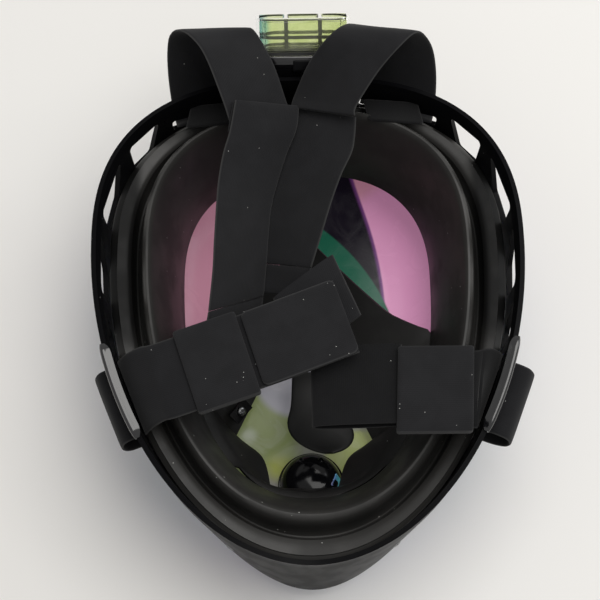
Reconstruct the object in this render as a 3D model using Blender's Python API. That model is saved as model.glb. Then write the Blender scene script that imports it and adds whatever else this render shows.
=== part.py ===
"""A full-face snorkel mask lying on its window, with its head straps folded over the back.

+X is the wearer's left-hand side as the mask is looked into, +Y runs up to the forehead and
+Z points back at the wearer. The flat front of the window touches Z = 0. The sizes below are
millimetres, and each solid is scaled to metres as it is made.
"""

import math

import bmesh
import bpy
from mathutils import Matrix, Vector

MM = 0.001
GAP = 0.35  # clear space between neighbouring pieces

# Plan outline shared by every ring of the mask: an egg, wide at the temples.
OUTLINE_MIDDLE_Y = 25.0
SQUARENESS_ABOVE = 2.5  # 2 is an ellipse, and more is squarer
SQUARENESS_BELOW = 2.0  # of the rim; each ring further in is a little squarer
SQUARER_INWARDS = 0.0088  # added for each millimetre that a ring is narrower than the rim
RING_POINTS = 72

# A ring is (half width, reach up, reach down, height at forehead, at temples, at chin).
VISOR_THICKNESS = 2.4
VISOR_OUTSIDE = [
    (42, 48, 66, 0, 0, 0),
    (60, 62, 90, 2.5, 4, 1.6),
    (76, 72, 116, 10, 15, 6),
    (87, 78, 136, 22, 32, 12.5),
    (94.4, 82.4, 149, 37.5, 53.5, 21),
]
RIM_WALL = 2.4
RIM_FOOT = (97.6, 85.6, 153.0, 32, 48, 16)
RIM_TOP = (100.5, 88.0, 147.0, 88, 92, 66)
RIM_BEAD = 1.1  # how far the rim's top edge is rolled outwards

# Openings in the rim wall: degrees round from the forehead, and share of the wall's height.
RIM_WINDOWS = [(42, 57), (63, 82), (87, 98), (101.5, 108.5)]
WINDOW_HEIGHTS = (0.42, 0.86)
TOP_SLOT = (11.5, 37.0, 0.58, 0.74)
EAR_SLOTS = [(111, 128.5, 0.74, 0.87), (111, 128.5, 0.42, 0.56)]

STRAP_WIDTH = 37.0
STRAP_THICKNESS = 1.6

# The snorkel socket's tube leans back from the forehead.
SOCKET_LEAN = math.radians(38)
SOCKET_MOUTH = Vector((0, 140, 96))
SOCKET_SIZE = (46.0, 19.0)
SOCKET_LENGTH = 13.0
BASE_SIZE = (52.0, 24.0)

PURGE_CENTRE = (0.0, -72.0)
PURGE_RADIUS = 16.5

# Each strap is a list of (centre of the web, half its width as a vector).
UPPER_STRAP_LEFT = [
    ((-46.8, 107.0, 70.5), (15.6, 6.2, 0)),
    ((-48.2, 114.5, 74.5), (16, 5.5, 0)),
    ((-48.8, 122.5, 83), (16.8, 4, 0)),
    ((-48.2, 128.5, 94), (17.5, 2.5, 0)),
    ((-46, 131, 103), (17.6, 2.2, -2.5)),
    ((-41, 128.6, 108.8), (16.6, 3.8, -6.5)),
    ((-35, 121, 109.4), (15.4, 4.9, -9)),
    ((-29.6, 110, 107.2), (15.2, 4.9, -9.4)),
    ((-23.9, 93.9, 102.5), (15.2, 4.3, -9.6)),
]
UPPER_STRAP_RIGHT = [
    ((46.8, 107.0, 70.5), (15.6, -6.2, 0)),
    ((47.8, 114.0, 74.5), (16, -5.5, 0)),
    ((47.6, 121.5, 83), (16.8, -4.5, 0)),
    ((45.6, 127, 94), (17.5, -4, 0)),
    ((42, 128.8, 104), (17.5, -5, 2)),
    ((36, 125, 113.5), (17.6, -3.6, 3)),
    ((28, 117, 115), (17.6, -4.2, 4)),
    ((18.6, 107.6, 108.4), (16.4, -5.8, 6.2)),
    ((9.9, 95, 99), (14.9, -7.1, 8.4)),
]
CROWN_HINGE = (-5.0, 94.5, 102.0)  # the crown straps lift about a line across the brow
CROWN_TOP_LAYER = [
    ((-17.9, 92.7, 101.9), (15.1, 3.4, -10.1)),
    ((-20, 78.5, 101.6), (15.8, 4.2, -9)),
    ((-24.2, 66.4, 98.8), (14.9, 4.5, -9.9)),
    ((-29.2, 45.8, 94.1), (12.9, 5.1, -11.9)),
    ((-31, 27.7, 91.6), (12.1, 6.1, -11.9)),
    ((-32, 13, 89.1), (12.3, 6.6, -11.9)),
    ((-34, -3.0, 85.4), (12.5, 7.9, -11.1)),
]
CROWN_UNDER_LAYER = [
    ((9.1, 91.6, 93.2), (15.2, -6.9, 8.0)),
    ((6.8, 80.3, 92.6), (16.5, -5.2, 6.4)),
    ((5, 71.2, 91.4), (16.8, -3.6, 6.8)),
    ((-0.1, 59.2, 88.4), (16.4, -3.1, 8.1)),
    ((-5, 45.6, 85.4), (15.8, -4.2, 8.8)),
    ((-10.5, 27.7, 81.6), (15.1, -5.6, 9)),
    ((-13.3, 18.5, 79.4), (14.9, -5.6, 9.4)),
]
LOWER_STRAP_LEFT = [
    ((-82.6, -46.4, 79.4), (6.6, -17.0, -2.6)),
    ((-78.5, -44.8, 85.5), (6.4, -17.2, -1.8)),
    ((-72, -43.4, 91.6), (6, -17.4, -0.6)),
    ((-64.5, -42.6, 94.6), (5.6, -17.6, 0)),
    ((-23.5, -30.2, 99.0), (5.4, -17.8, 0)),
    ((-4, -23.5, 100.4), (5.6, -17.6, 0)),
    ((16.5, -16.0, 101.0), (5.6, -17.4, 0)),
]
LOWER_STRAP_RIGHT = [
    ((82.6, -46.4, 79.4), (-6.6, -17.0, -2.6)),
    ((78.9, -46.0, 85.8), (-6.0, -17.2, -1.8)),
    ((76.4, -47.8, 91.0), (-3.6, -18.0, -0.6)),
    ((73.4, -49.6, 93.2), (-1.2, -18.5, 0)),
    ((37, -49.6, 94.4), (-1.0, -18.5, 0)),
    ((18, -47, 92.6), (0, -18.4, 0)),
    ((-1, -44, 89.6), (0, -18.2, 0)),
]
KEEPER_RUN = 3  # each lower strap runs straight from this station to the next


# ---------------------------------------------------------------- scene and mesh helpers


def clear_scene():
    for obj in list(bpy.data.objects):
        bpy.data.objects.remove(obj, do_unlink=True)


def make_material(name, colour, roughness, metallic=0.0, alpha=1.0):
    """A Principled material under this name."""
    material = bpy.data.materials.new(name)
    material.use_nodes = True
    shader = material.node_tree.nodes["Principled BSDF"]
    shader.inputs["Base Color"].default_value = (*colour, 1.0)
    shader.inputs["Roughness"].default_value = roughness
    shader.inputs["Metallic"].default_value = metallic
    shader.inputs["Alpha"].default_value = alpha
    return material


def add_solid(name, points, faces, material, middle=(0, 0, 0)):
    """One closed mesh object with its origin at middle, both in millimetres."""
    middle = Vector(middle)
    mesh = bpy.data.meshes.new(name)
    moved = [(Vector(p) - middle) * MM for p in points]
    mesh.from_pydata(moved, [], faces)
    tidy = bmesh.new()
    tidy.from_mesh(mesh)
    bmesh.ops.recalc_face_normals(tidy, faces=tidy.faces)
    tidy.to_mesh(mesh)
    tidy.free()
    obj = bpy.data.objects.new(name, mesh)
    obj.location = middle * MM
    obj.data.materials.append(material)
    bpy.context.scene.collection.objects.link(obj)
    return obj


def cut(target, cutter):
    """Takes the cutter's shape out of target and hides the cutter."""
    cutter.hide_render = True
    cutter.display_type = "WIRE"
    modifier = target.modifiers.new("cut_" + cutter.name, "BOOLEAN")
    modifier.operation = "DIFFERENCE"
    modifier.solver = "EXACT"
    modifier.object = cutter


def outline_point(degrees, width, above, below):
    """A point of the egg outline, turning from the forehead towards +X."""
    turn = math.radians(degrees)
    s, c = math.sin(turn), math.cos(turn)
    squareness_below = SQUARENESS_BELOW + SQUARER_INWARDS * max(0.0, RIM_TOP[0] - width)
    power = 2 / (SQUARENESS_ABOVE if c >= 0 else squareness_below)
    x = math.copysign(abs(s) ** power, s) * width
    y = OUTLINE_MIDDLE_Y + math.copysign(abs(c) ** power, c) * (above if c >= 0 else below)
    return x, y


def ring_point(degrees, ring):
    """A point of a ring, whose height blends between its ends and its sides."""
    width, above, below, z_forehead, z_temple, z_chin = ring
    x, y = outline_point(degrees, width, above, below)
    turn = math.radians(degrees)
    side = abs(math.sin(turn)) ** 1.6
    z_end = z_forehead if math.cos(turn) >= 0 else z_chin
    return Vector((x, y, z_end + (z_temple - z_end) * side))


def blend_rings(low, high, share):
    return tuple(a + (b - a) * share for a, b in zip(low, high))


def grow_ring(ring, outwards, up=0.0):
    """The same ring moved outwards and up."""
    width, above, below, *heights = ring
    wider = (width + outwards, above + outwards, below + outwards)
    return wider + tuple(z + up for z in heights)


def ring_points(ring, count=RING_POINTS):
    return [ring_point(360 * i / count, ring) for i in range(count)]


def loop_faces(loops, count, closed):
    """Quads joining each loop of points to the next, and the last to the first if closed."""
    faces = []
    for k in range(loops if closed else loops - 1):
        a, b = k * count, (k + 1) % loops * count
        faces += [
            (a + i, a + (i + 1) % count, b + (i + 1) % count, b + i) for i in range(count)
        ]
    return faces


def band(name, rings, material, count=RING_POINTS):
    """A ring-shaped solid: its section is the closed chain of rings."""
    points = [p for ring in rings for p in ring_points(ring, count)]
    return add_solid(name, points, loop_faces(len(rings), count, True), material)


def stack(name, loops, material, middle=(0, 0, 0)):
    """A solid through several loops of points, closed by a flat face at each end."""
    count = len(loops[0])
    points = [p for loop in loops for p in loop]
    faces = loop_faces(len(loops), count, False)
    faces.append(tuple(range(count)))
    faces.append(tuple(len(points) - count + i for i in range(count)))
    return add_solid(name, points, faces, material, middle)


def axes_along(direction):
    """Two unit vectors square to direction and to each other."""
    direction = Vector(direction).normalized()
    helper = Vector((1, 0, 0)) if abs(direction.x) < 0.9 else Vector((0, 1, 0))
    across = (helper - direction * helper.dot(direction)).normalized()
    return across, direction.cross(across)


def circle(middle, direction, radius, count=24):
    across, up = axes_along(direction)
    turns = [2 * math.pi * i / count for i in range(count)]
    return [
        Vector(middle) + (across * math.cos(a) + up * math.sin(a)) * radius for a in turns
    ]


def turned(name, middle, direction, profile, material, count=24, pivot=None):
    """A solid of revolution with flat ends. profile holds (distance along, radius)."""
    direction = Vector(direction).normalized()
    loops = [
        circle(Vector(middle) + direction * along, direction, radius, count)
        for along, radius in profile
    ]
    return stack(name, loops, material, pivot or middle)


def washer(name, middle, direction, profile, material, count=24):
    """A solid of revolution with a hole: profile is a closed chain of (along, radius)."""
    direction = Vector(direction).normalized()
    points = []
    for along, radius in profile:
        points += circle(Vector(middle) + direction * along, direction, radius, count)
    faces = loop_faces(len(profile), count, True)
    return add_solid(name, points, faces, material, middle)


def block(name, middle, half, material, turn=None, pivot=None):
    """A box with its half sizes along its own axes, turned by a matrix if one is given."""
    turn = turn or Matrix.Identity(3)
    corners = [
        Vector(middle) + turn @ Vector((x * half[0], y * half[1], z * half[2]))
        for z in (-1, 1)
        for x, y in ((-1, -1), (1, -1), (1, 1), (-1, 1))
    ]
    return stack(name, [corners[:4], corners[4:]], material, pivot or middle)


# ---------------------------------------------------------------- webbing


def station_at(stations, place, straight=None):
    """Centre and half width at a place counted in stations: 3.5 is halfway from 3 to 4.

    The curve passes through every station. It runs straight after the one numbered straight."""
    last = len(stations) - 1
    i = min(int(place), last - 1)
    t = place - i
    four = [stations[min(max(k, 0), last)] for k in range(i - 1, i + 3)]
    four = [(Vector(c), Vector(h)) for c, h in four]
    if i == straight:
        return tuple(four[1][j].lerp(four[2][j], t) for j in (0, 1))
    return tuple(curve_point([row[j] for row in four], t) for j in (0, 1))


def smooth_stations(stations, steps=4, straight=None):
    """Rows at even steps along the whole strap."""
    count = (len(stations) - 1) * steps
    return [station_at(stations, k / steps, straight) for k in range(count + 1)]


def curve_point(four, t):
    """Catmull-Rom interpolation between the middle two of four values."""
    a, b, c, d = four
    return 0.5 * (
        2 * b
        + (c - a) * t
        + (2 * a - 5 * b + 4 * c - d) * t**2
        + (3 * b - a - 3 * c + d) * t**3
    )


def strap_section(centre, edge, up):
    """The four corners of a flat strap's section."""
    return [centre - edge - up, centre + edge - up, centre + edge + up, centre - edge + up]


def web(name, rows, material, thickness=STRAP_THICKNESS, lift=0.0, middle=(0, 0, 0)):
    """A flat strap through its rows, lifted along its own normal."""
    loops = []
    for i, (centre, half) in enumerate(rows):
        along = rows[min(i + 1, len(rows) - 1)][0] - rows[max(i - 1, 0)][0]
        normal = half.cross(along).normalized()
        if i and normal.dot(before) < 0:
            normal.negate()
        if not i and normal.z < 0:
            normal.negate()
        before = normal
        centre = centre + normal * lift
        up = normal * (thickness / 2)
        edge = half.normalized() * (STRAP_WIDTH / 2)
        loops.append(strap_section(centre, edge, up))
    return stack(name, loops, material, middle)


def part_of(stations, start, end, count, straight):
    """Rows between two places of a strap, counted in stations."""
    places = [start + (end - start) * i / (count - 1) for i in range(count)]
    return [station_at(stations, place, straight) for place in places]


def keeper(name, rows, material, room):
    """A closed band round a straight run of strap, wider and thicker than it by room."""
    skin = 1.5
    outer, inner = [], []
    for i, (centre, half) in enumerate(rows):
        along = rows[-1][0] - rows[0][0]
        normal = half.cross(along).normalized()
        normal = normal if normal.z > 0 else -normal
        edge = half.normalized()
        for group, extra in ((outer, skin), (inner, 0.0)):
            w = STRAP_WIDTH / 2 + 0.7 + extra
            low = -normal * (STRAP_THICKNESS / 2 + room + extra)
            high = normal * (STRAP_THICKNESS / 2 + room + extra)
            group.append(
                [
                    centre - edge * w + low,
                    centre + edge * w + low,
                    centre + edge * w + high,
                    centre - edge * w + high,
                ]
            )
    points = [p for loop in outer + inner[::-1] for p in loop]
    faces = loop_faces(2 * len(rows), 4, True)
    return add_solid(name, points, faces, material, rows[len(rows) // 2][0])


# ---------------------------------------------------------------- window, rim and seals


def build_visor(material):
    inside = [grow_ring(ring, -VISOR_THICKNESS * 0.6, VISOR_THICKNESS) for ring in VISOR_OUTSIDE]
    inside[-1] = grow_ring(VISOR_OUTSIDE[-1], -VISOR_THICKNESS, 0)
    loops = [ring_points(ring) for ring in VISOR_OUTSIDE + inside[::-1]]
    visor = stack("visor", loops, material)
    hole = turned(
        "purge_hole_cutter",
        (*PURGE_CENTRE, 0),
        (0, 0, 1),
        [(-6, PURGE_RADIUS - 3), (14, PURGE_RADIUS - 3)],
        material,
        32,
    )
    cut(visor, hole)
    return visor


def rim_steps():
    """Degrees round the rim, with every opening's ends among them."""
    ends = {0.0, 180.0}
    for pair in RIM_WINDOWS + [TOP_SLOT[:2], EAR_SLOTS[0][:2]]:
        ends |= {float(pair[0]), float(pair[1])}
    stops = sorted(ends)
    half = []
    for low, high in zip(stops, stops[1:]):
        parts = max(1, round((high - low) / 5.5))
        half += [low + (high - low) * k / parts for k in range(parts)]
    return half + [360 - a for a in reversed(half + [180.0]) if 0 < a]


def is_open(degrees, share):
    """True where the rim wall has an opening."""
    side = min(degrees, 360 - degrees)
    low, high = WINDOW_HEIGHTS
    if any(a < side < b and low < share < high for a, b in RIM_WINDOWS):
        return True
    return any(a < side < b and c < share < d for a, b, c, d in [TOP_SLOT, *EAR_SLOTS])


def wall_point(degrees, share, inner):
    ring = blend_rings(RIM_FOOT, RIM_TOP, share)
    rolled = RIM_BEAD * max(0.0, (share - 0.87) / 0.13)
    return ring_point(degrees, grow_ring(ring, -RIM_WALL if inner else rolled))


def build_rim(material):
    """The rim wall as a grid of cells, inside and outside, with the open cells left out."""
    turns = rim_steps()
    shares = {0.0, 0.2, 1.0, *WINDOW_HEIGHTS}
    for slot in [TOP_SLOT, *EAR_SLOTS]:
        shares |= set(slot[2:])
    shares = sorted(shares)
    count, rows = len(turns), len(shares)
    points = [wall_point(a, s, inner) for inner in (False, True) for s in shares for a in turns]

    def at(inner, row, column):
        return (inner * rows + row) * count + column % count

    def solid(row, column):
        if not 0 <= row < rows - 1:
            return False
        here, after = turns[column % count], turns[(column + 1) % count] or 360.0
        return not is_open((here + after) / 2, (shares[row] + shares[row + 1]) / 2)

    faces = []
    for row in range(rows - 1):
        for column in range(count):
            if not solid(row, column):
                continue
            corners = [(row, column), (row, column + 1), (row + 1, column + 1), (row + 1, column)]
            faces.append([at(0, *c) for c in corners])
            faces.append([at(1, *c) for c in reversed(corners)])
            beside = [(row - 1, column), (row, column + 1), (row + 1, column), (row, column - 1)]
            for k, other in enumerate(beside):
                if not solid(*other):
                    a, b = corners[k], corners[(k + 1) % 4]
                    faces.append([at(0, *a), at(1, *a), at(1, *b), at(0, *b)])
    return add_solid("rim", points, faces, material)


def build_visor_seal(material):
    edge = VISOR_OUTSIDE[-1]
    low, high = GAP, GAP + 2.0
    rings = [
        grow_ring(edge, -0.4, low),
        grow_ring(edge, -0.4, high),
        grow_ring(edge, -2.6, high),
        grow_ring(edge, -2.6, low),
    ]
    return band("visor_seal", rings, material)


def build_face_skirt(material):
    """Inner wall, rolled lip, groove, outer flange and the root that stands on the seal."""
    rings = [
        (61.5, 61, 101, 34, 36, 26),
        (63.5, 62.5, 104, 48, 50, 36),
        (68, 66, 111.5, 66, 68, 50),
        (72.5, 69.5, 118.5, 79, 81, 60.5),
        (75.5, 72, 124, 84, 86, 64),
        (78.3, 74.5, 129, 81, 83, 61.5),
        (79.5, 75.5, 131.5, 70, 71, 54),
        (82, 77, 134, 64, 65, 50.5),
        (84.5, 78.5, 136.5, 66, 68, 52),
        (86.5, 80, 138.5, 69, 73, 56.5),
        (92, 83, 142.5, 70, 74, 57.5),
        (95.0, 83.9, 144.6, 66, 70, 55),
        (93.9, 82.0, 146.2, 41, 57, 24.5),
        (90.3, 78.6, 142.6, 41, 57, 24.5),
        (90.4, 80.3, 140.9, 63, 67, 52),
        (84.5, 77.6, 135.5, 60, 61, 46.5),
        (77.3, 73.3, 129.3, 60, 61, 46.5),
        (76.3, 72.6, 126.5, 77, 78, 58),
        (70.6, 68, 114.2, 65, 67, 49),
        (66.0, 64.8, 106.6, 47, 49, 35),
        (64.0, 63.4, 103.4, 34, 36, 26),
    ]
    return band("face_skirt", rings, material)


# ---------------------------------------------------------------- nose pocket and its valves


# The pocket's edge near the window is a star-like hole: corner, steps to the next, and how
# far the side between them is drawn in.
POCKET_FOOT = [
    ((0, -10, 12), 4, 0.0),
    ((14, -12, 12), 10, 0.0),
    ((35, -47, 10), 6, 3.5),
    ((18, -71, 22.4), 4, 0.0),
    ((0, -67, 27.8), 0, 0.0),
]
# Its other edge follows the skirt round the chin and rises to a point over the nose.
POCKET_EDGE = (58.6, 58, 98.0, 36.5, 36.5, 30.8)
POCKET_SIDE_DEGREES = 103.0
POCKET_SIDE_STEP = 10
POCKET_HALF = 24
NOSE_PEAK = Vector((0, 43, 54))
POCKET_WALL = 1.8


def pocket_foot(step):
    """A point of the star-like edge, from the nose (0) round the right-hand side to the chin."""
    for (a, steps, drawn), (b, _, _) in zip(POCKET_FOOT, POCKET_FOOT[1:]):
        if step <= steps:
            t = step / steps
            point = Vector(a).lerp(Vector(b), t)
            inwards = Vector((-point.x, -42 - point.y, 0)).normalized()
            return point + inwards * drawn * 4 * t * (1 - t)
        step -= steps


def pocket_edge(step):
    """A point of the edge towards the face, matched to the same step of the foot."""
    side = ring_point(POCKET_SIDE_DEGREES, POCKET_EDGE)
    if step >= POCKET_SIDE_STEP:
        share = (step - POCKET_SIDE_STEP) / (POCKET_HALF - POCKET_SIDE_STEP)
        return ring_point(POCKET_SIDE_DEGREES + (180 - POCKET_SIDE_DEGREES) * share, POCKET_EDGE)
    across = (step / POCKET_SIDE_STEP) ** 1.1
    rise = (1 - across) ** 1.2
    y = side.y + (NOSE_PEAK.y - side.y) * rise
    return Vector((side.x * across, y, side.z + (NOSE_PEAK.z - side.z) * rise))


def pocket_wall(step, share, side=1):
    """A point of the pocket's wall, the way out of the pocket there and the way to the face."""
    foot, edge = pocket_foot(step), pocket_edge(step)
    up = (edge - foot).normalized()
    flat = Vector((up.x, up.y, 0)).normalized()
    out = flat * up.z - Vector((0, 0, 1)) * up.dot(flat)
    mirror = Matrix.Diagonal((side, 1, 1))
    return mirror @ foot.lerp(edge, share), mirror @ out, mirror @ up


def pocket_loop(share, outwards):
    """A closed loop round the pocket, moved outwards by so much."""
    right = [pocket_wall(k, share) for k in range(POCKET_HALF + 1)]
    left = [pocket_wall(k, share, -1) for k in range(POCKET_HALF - 1, 0, -1)]
    return [point + out * outwards for point, out, _ in right + left]


def build_nose_pocket(material):
    """The pocket round the nose and mouth, and the soft shelf under the nose inside it."""
    loops = [pocket_loop(share, 0) for share in (0, 0.5, 1)]
    loops += [pocket_loop(share, POCKET_WALL) for share in (1, 0.5, 0)]
    points = [p for loop in loops for p in loop]
    faces = loop_faces(len(loops), 2 * POCKET_HALF, True)
    pocket = add_solid("nose_pocket", points, faces, material)
    for side, word in ((-1, "left"), (1, "right")):
        middle, outwards, _ = cheek_valve_place(side)
        reach = [(-8, CHEEK_SEAT_RADIUS + GAP), (8, CHEEK_SEAT_RADIUS + GAP)]
        cut(pocket, turned("cheek_hole_cutter_" + word, middle, outwards, reach, material, 32))
    build_nose_shelf(material)
    return pocket


def build_nose_shelf(material):
    loops = []
    for y, z, half in NOSE_SHELF:
        low, high = z - SHELF_THICKNESS / 2, z + SHELF_THICKNESS / 2
        corners = [(-half, low), (half, low), (half, high), (-half, high)]
        loops.append([Vector((x, y, height)) for x, height in corners])
    stack("nose_shelf", loops, material)


# The shelf as (distance up the face, height, half width).
NOSE_SHELF = [
    (-14.5, 14.5, 8.5),
    (-22, 16.5, 9),
    (-33, 18, 11.5),
    (-42, 19.6, 16),
    (-50, 21.2, 16.5),
    (-56, 23.6, 11.5),
    (-60, 25.6, 4.5),
]
SHELF_THICKNESS = 2.6
CLIP_CLEARANCE = 3.2  # from the curved wall to the middle of its flat clip
CHEEK_SEAT_RADIUS = 8.6
CHEEK_FLAP_RADIUS = 7.4


def cheek_valve_place(side):
    """The middle of a cheek valve's seat, the way out of the pocket and the way to the face."""
    return pocket_wall(11, 0.6, side)


def build_cheek_valves(plastic, rubber, steel):
    """A seat in each cheek of the pocket, its flap inside, and the bar that holds the edge."""
    for side, word in ((-1, "left"), (1, "right")):
        middle, outwards, up = cheek_valve_place(side)
        section = [(-1.5, 5.6), (1.5, 5.6), (1.5, CHEEK_SEAT_RADIUS), (-1.5, CHEEK_SEAT_RADIUS)]
        washer("cheek_valve_seat_" + word, middle, outwards, section, plastic)
        face = -1.5 - GAP
        profile = [(face - 0.9, CHEEK_FLAP_RADIUS), (face, CHEEK_FLAP_RADIUS)]
        hinge = middle + outwards * (face - 0.45) + up * CHEEK_FLAP_RADIUS
        turned("cheek_valve_flap_" + word, middle, outwards, profile, rubber, pivot=hinge)
        foot, out, up = pocket_wall(11.7, 0.24, side)
        turn = Matrix((up.cross(out), up, out)).transposed()
        clip = foot - out * CLIP_CLEARANCE
        block("pocket_clip_" + word, clip, (5.6, 3.4, 0.9), plastic, turn)
        head = [(0.0, 2.3), (0.9, 2.1), (1.4, 1.2)]
        top = clip - out * (0.9 + GAP)
        turned("pocket_screw_" + word, top, -out, head, steel, 16)


# ---------------------------------------------------------------- chin purge valve


def build_purge(gloss, rubber):
    x, y = PURGE_CENTRE
    up = (0, 0, 1)
    dome = [
        (0.0, 16.5),
        (6.0, 16.0),
        (10.5, 13.2),
        (13.6, 8.2),
        (14.6, 3.0),
        (12.4, 3.0),
        (11.6, 7.6),
        (9.0, 11.6),
        (5.0, 14.0),
        (0.0, 14.3),
    ]
    washer("purge_dome", (x, y, 9.6), up, dome, gloss, 32)
    seat = [(0, 4.5), (0, 13.0), (2.2, 13.0), (2.2, 4.5)]
    washer("purge_seat", (x, y, 4.9), up, seat, gloss, 32)
    turned("purge_flap", (x, y, 3.5), up, [(0.0, 9.0), (1.0, 9.0)], rubber, 32)
    guard = [(0.0, 3.2), (0.0, 12.9), (1.2, 12.9), (1.2, 3.2)]
    washer("purge_guard", (x, y, 0.9), up, guard, gloss, 32)


# ---------------------------------------------------------------- snorkel socket


def socket_axes():
    along = Vector((0, math.cos(SOCKET_LEAN), math.sin(SOCKET_LEAN)))
    return along, Vector((0, -math.sin(SOCKET_LEAN), math.cos(SOCKET_LEAN)))


def stadium(middle, across, up, size, count=12):
    """A round-ended loop of points, size wide and high, in the plane of across and up."""
    half, radius = (size[0] - size[1]) / 2, size[1] / 2
    loop = []
    for side, start in ((1, -90), (-1, 90)):
        for k in range(count + 1):
            turn = math.radians(start + 180 * k / count)
            flat = Vector(across) * (side * half + radius * math.cos(turn))
            loop.append(Vector(middle) + flat + Vector(up) * radius * math.sin(turn))
    return loop


def rounded_channel(name, start, end, x_middle, size, axes, material):
    """A cutter for one air channel between two points of the socket's axis."""
    across, up = axes
    loops = []
    for point in (start, end):
        middle = point + across * x_middle
        w, h, r = size[0] / 2, size[1] / 2, 2.5
        loop = []
        for sx, sy, first in ((1, -1, -90), (1, 1, 0), (-1, 1, 90), (-1, -1, 180)):
            for k in range(4):
                turn = math.radians(first + 30 * k)
                x = sx * (w - r) + r * math.cos(turn)
                y = sy * (h - r) + r * math.sin(turn)
                loop.append(middle + across * x + up * y)
        loops.append(loop)
    return stack(name, loops, material)


def build_socket(clear, gloss, rubber):
    along, up = socket_axes()
    across = Vector((1, 0, 0))
    mouth, foot = SOCKET_MOUTH, SOCKET_MOUTH - along * SOCKET_LENGTH
    tube = stack(
        "snorkel_socket",
        [stadium(p, across, up, SOCKET_SIZE) for p in (foot, mouth)],
        clear,
    )
    channels = ((-15.2, (11.6, 13.4)), (0, (14.6, 15.4)), (15.2, (11.6, 13.4)))
    for k, (x, size) in enumerate(channels):
        start, end = foot - along * 2, mouth + along * 2
        cut(tube, rounded_channel(f"tube_cutter_{k}", start, end, x, size, (across, up), clear))

    seal_top = foot - along * GAP
    seal_foot = seal_top - along * 1.6
    sizes = [(SOCKET_SIZE[0] + 2, SOCKET_SIZE[1] + 2), (SOCKET_SIZE[0] - 2, SOCKET_SIZE[1] - 2)]
    loops = [
        stadium(seal_foot, across, up, sizes[0]),
        stadium(seal_top, across, up, sizes[0]),
        stadium(seal_top, across, up, sizes[1]),
        stadium(seal_foot, across, up, sizes[1]),
    ]
    points = [p for loop in loops for p in loop]
    add_solid("socket_seal", points, loop_faces(4, len(loops[0]), True), rubber)
    build_socket_base(seal_foot - along * GAP, across, along, up, gloss, rubber)


def build_socket_base(top, across, along, up, gloss, rubber):
    """The black neck between the rim and the clear socket, with three air channels."""
    foot = Vector((0, 114.3, 70.0))
    middle = Vector((0, 121.5, 77.5))
    loops = [
        stadium(foot, across, (0, 0, 1), (56, 26)),
        stadium(middle, across, (up + Vector((0, 0, 1))).normalized(), (55, 25.5)),
        stadium(top, across, up, BASE_SIZE),
    ]
    base = stack("socket_base", loops, gloss)
    for k, x in enumerate((-15.6, 0, 15.6)):
        start, end = top - along * 30, top + along * 2
        name, size = f"base_cutter_{k}", (12.4, 13.4)
        cut(base, rounded_channel(name, start, end, x, size, (across, up), gloss))
    turn = Matrix((across, along, up)).transposed()
    pocket = top - along * 4.2 + up * 10.5
    cut(base, block("button_pocket_cutter", pocket, (5.6, 3.0, 2.6), gloss, turn))
    block("release_button", pocket + up * 0.9, (5.2, 2.6, 1.3), gloss, turn)
    turned("button_spring", pocket - up * 2.2, up, [(0, 1.8), (1.35, 1.8)], gloss, 12)
    for side, word in ((-1, "left"), (1, "right")):
        spot = top - along * 5 + across * (15.6 * side)
        half = (5.3, 0.45, 5.7)
        block("exhale_flap_" + word, spot, half, rubber, turn, spot + up * half[2])


# ---------------------------------------------------------------- harness


def build_upper_harness(fabric):
    web("upper_strap_left", smooth_stations(UPPER_STRAP_LEFT), fabric)
    web("upper_strap_right", smooth_stations(UPPER_STRAP_RIGHT), fabric)
    for side, word in ((-1, "left"), (1, "right")):
        half = Vector((13.5, -4.0 * side, 0))
        stations = [
            ((45.6 * side, 102.8, 73.0), half),
            ((44.4 * side, 98.6, 78.0), half),
            ((43.2 * side, 94.6, 86.0), half),
        ]
        short = [(Vector(c), h) for c, h in stations]
        narrow_web("strap_tab_" + word, short, 27.0, fabric)


def narrow_web(name, stations, width, material):
    """A short flat piece of webbing narrower than a strap."""
    loops = []
    for centre, half in stations:
        edge = half.normalized() * width / 2
        up = Vector((0, 0.25, 0.97)) * STRAP_THICKNESS / 2
        loops.append(strap_section(centre, edge, up))
    return stack(name, loops, material)


def build_crown(fabric, thread):
    for word, stations in (("top", CROWN_TOP_LAYER), ("under", CROWN_UNDER_LAYER)):
        web("crown_strap_" + word, smooth_stations(stations), fabric, middle=CROWN_HINGE)
    fold = [
        ((-18.9, 92.7, 100.4), (15.1, 3.4, -10.1)),
        ((-19.9, 86, 100.5), (15.3, 3.8, -9.6)),
        ((-21.0, 78.5, 100.1), (15.8, 4.2, -9)),
    ]
    web("crown_fold", smooth_stations(fold), thread, 1.2, middle=CROWN_HINGE)


def build_ear_loop(word, side, fabric):
    """The strap's turn round the ear bar: out through one slot and back through the other."""
    along = Vector((0.366 * side, 0.93, 0.143))
    out = Vector((0.93 * side, -0.366, 0))
    wall = Vector((86.3 * side, -48.3, 0))
    reach = 8.0 if side < 0 else 12.5
    path = [
        (-1.6, 77.6),
        (0.35 * reach, 78.2),
        (0.8 * reach, 76.6),
        (reach, 71.5),
        (0.9 * reach, 65.8),
        (0.5 * reach, 62.6),
        (-1.0, 62.0),
    ]
    stations = [(wall + out * d + Vector((0, 0, z)), along * 10) for d, z in path]
    return ear_web("ear_loop_" + word, stations, fabric)


def ear_web(name, stations, material):
    """A strap loop whose width is set by the slot it runs through."""
    rows = smooth_stations(stations, 3)
    loops = []
    for i, (centre, half) in enumerate(rows):
        ahead = rows[min(i + 1, len(rows) - 1)][0] - rows[max(i - 1, 0)][0]
        normal = half.cross(ahead).normalized() * (STRAP_THICKNESS / 2)
        edge = half.normalized() * 17.5
        loops.append(strap_section(centre, edge, normal))
    return stack(name, loops, material)


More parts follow.
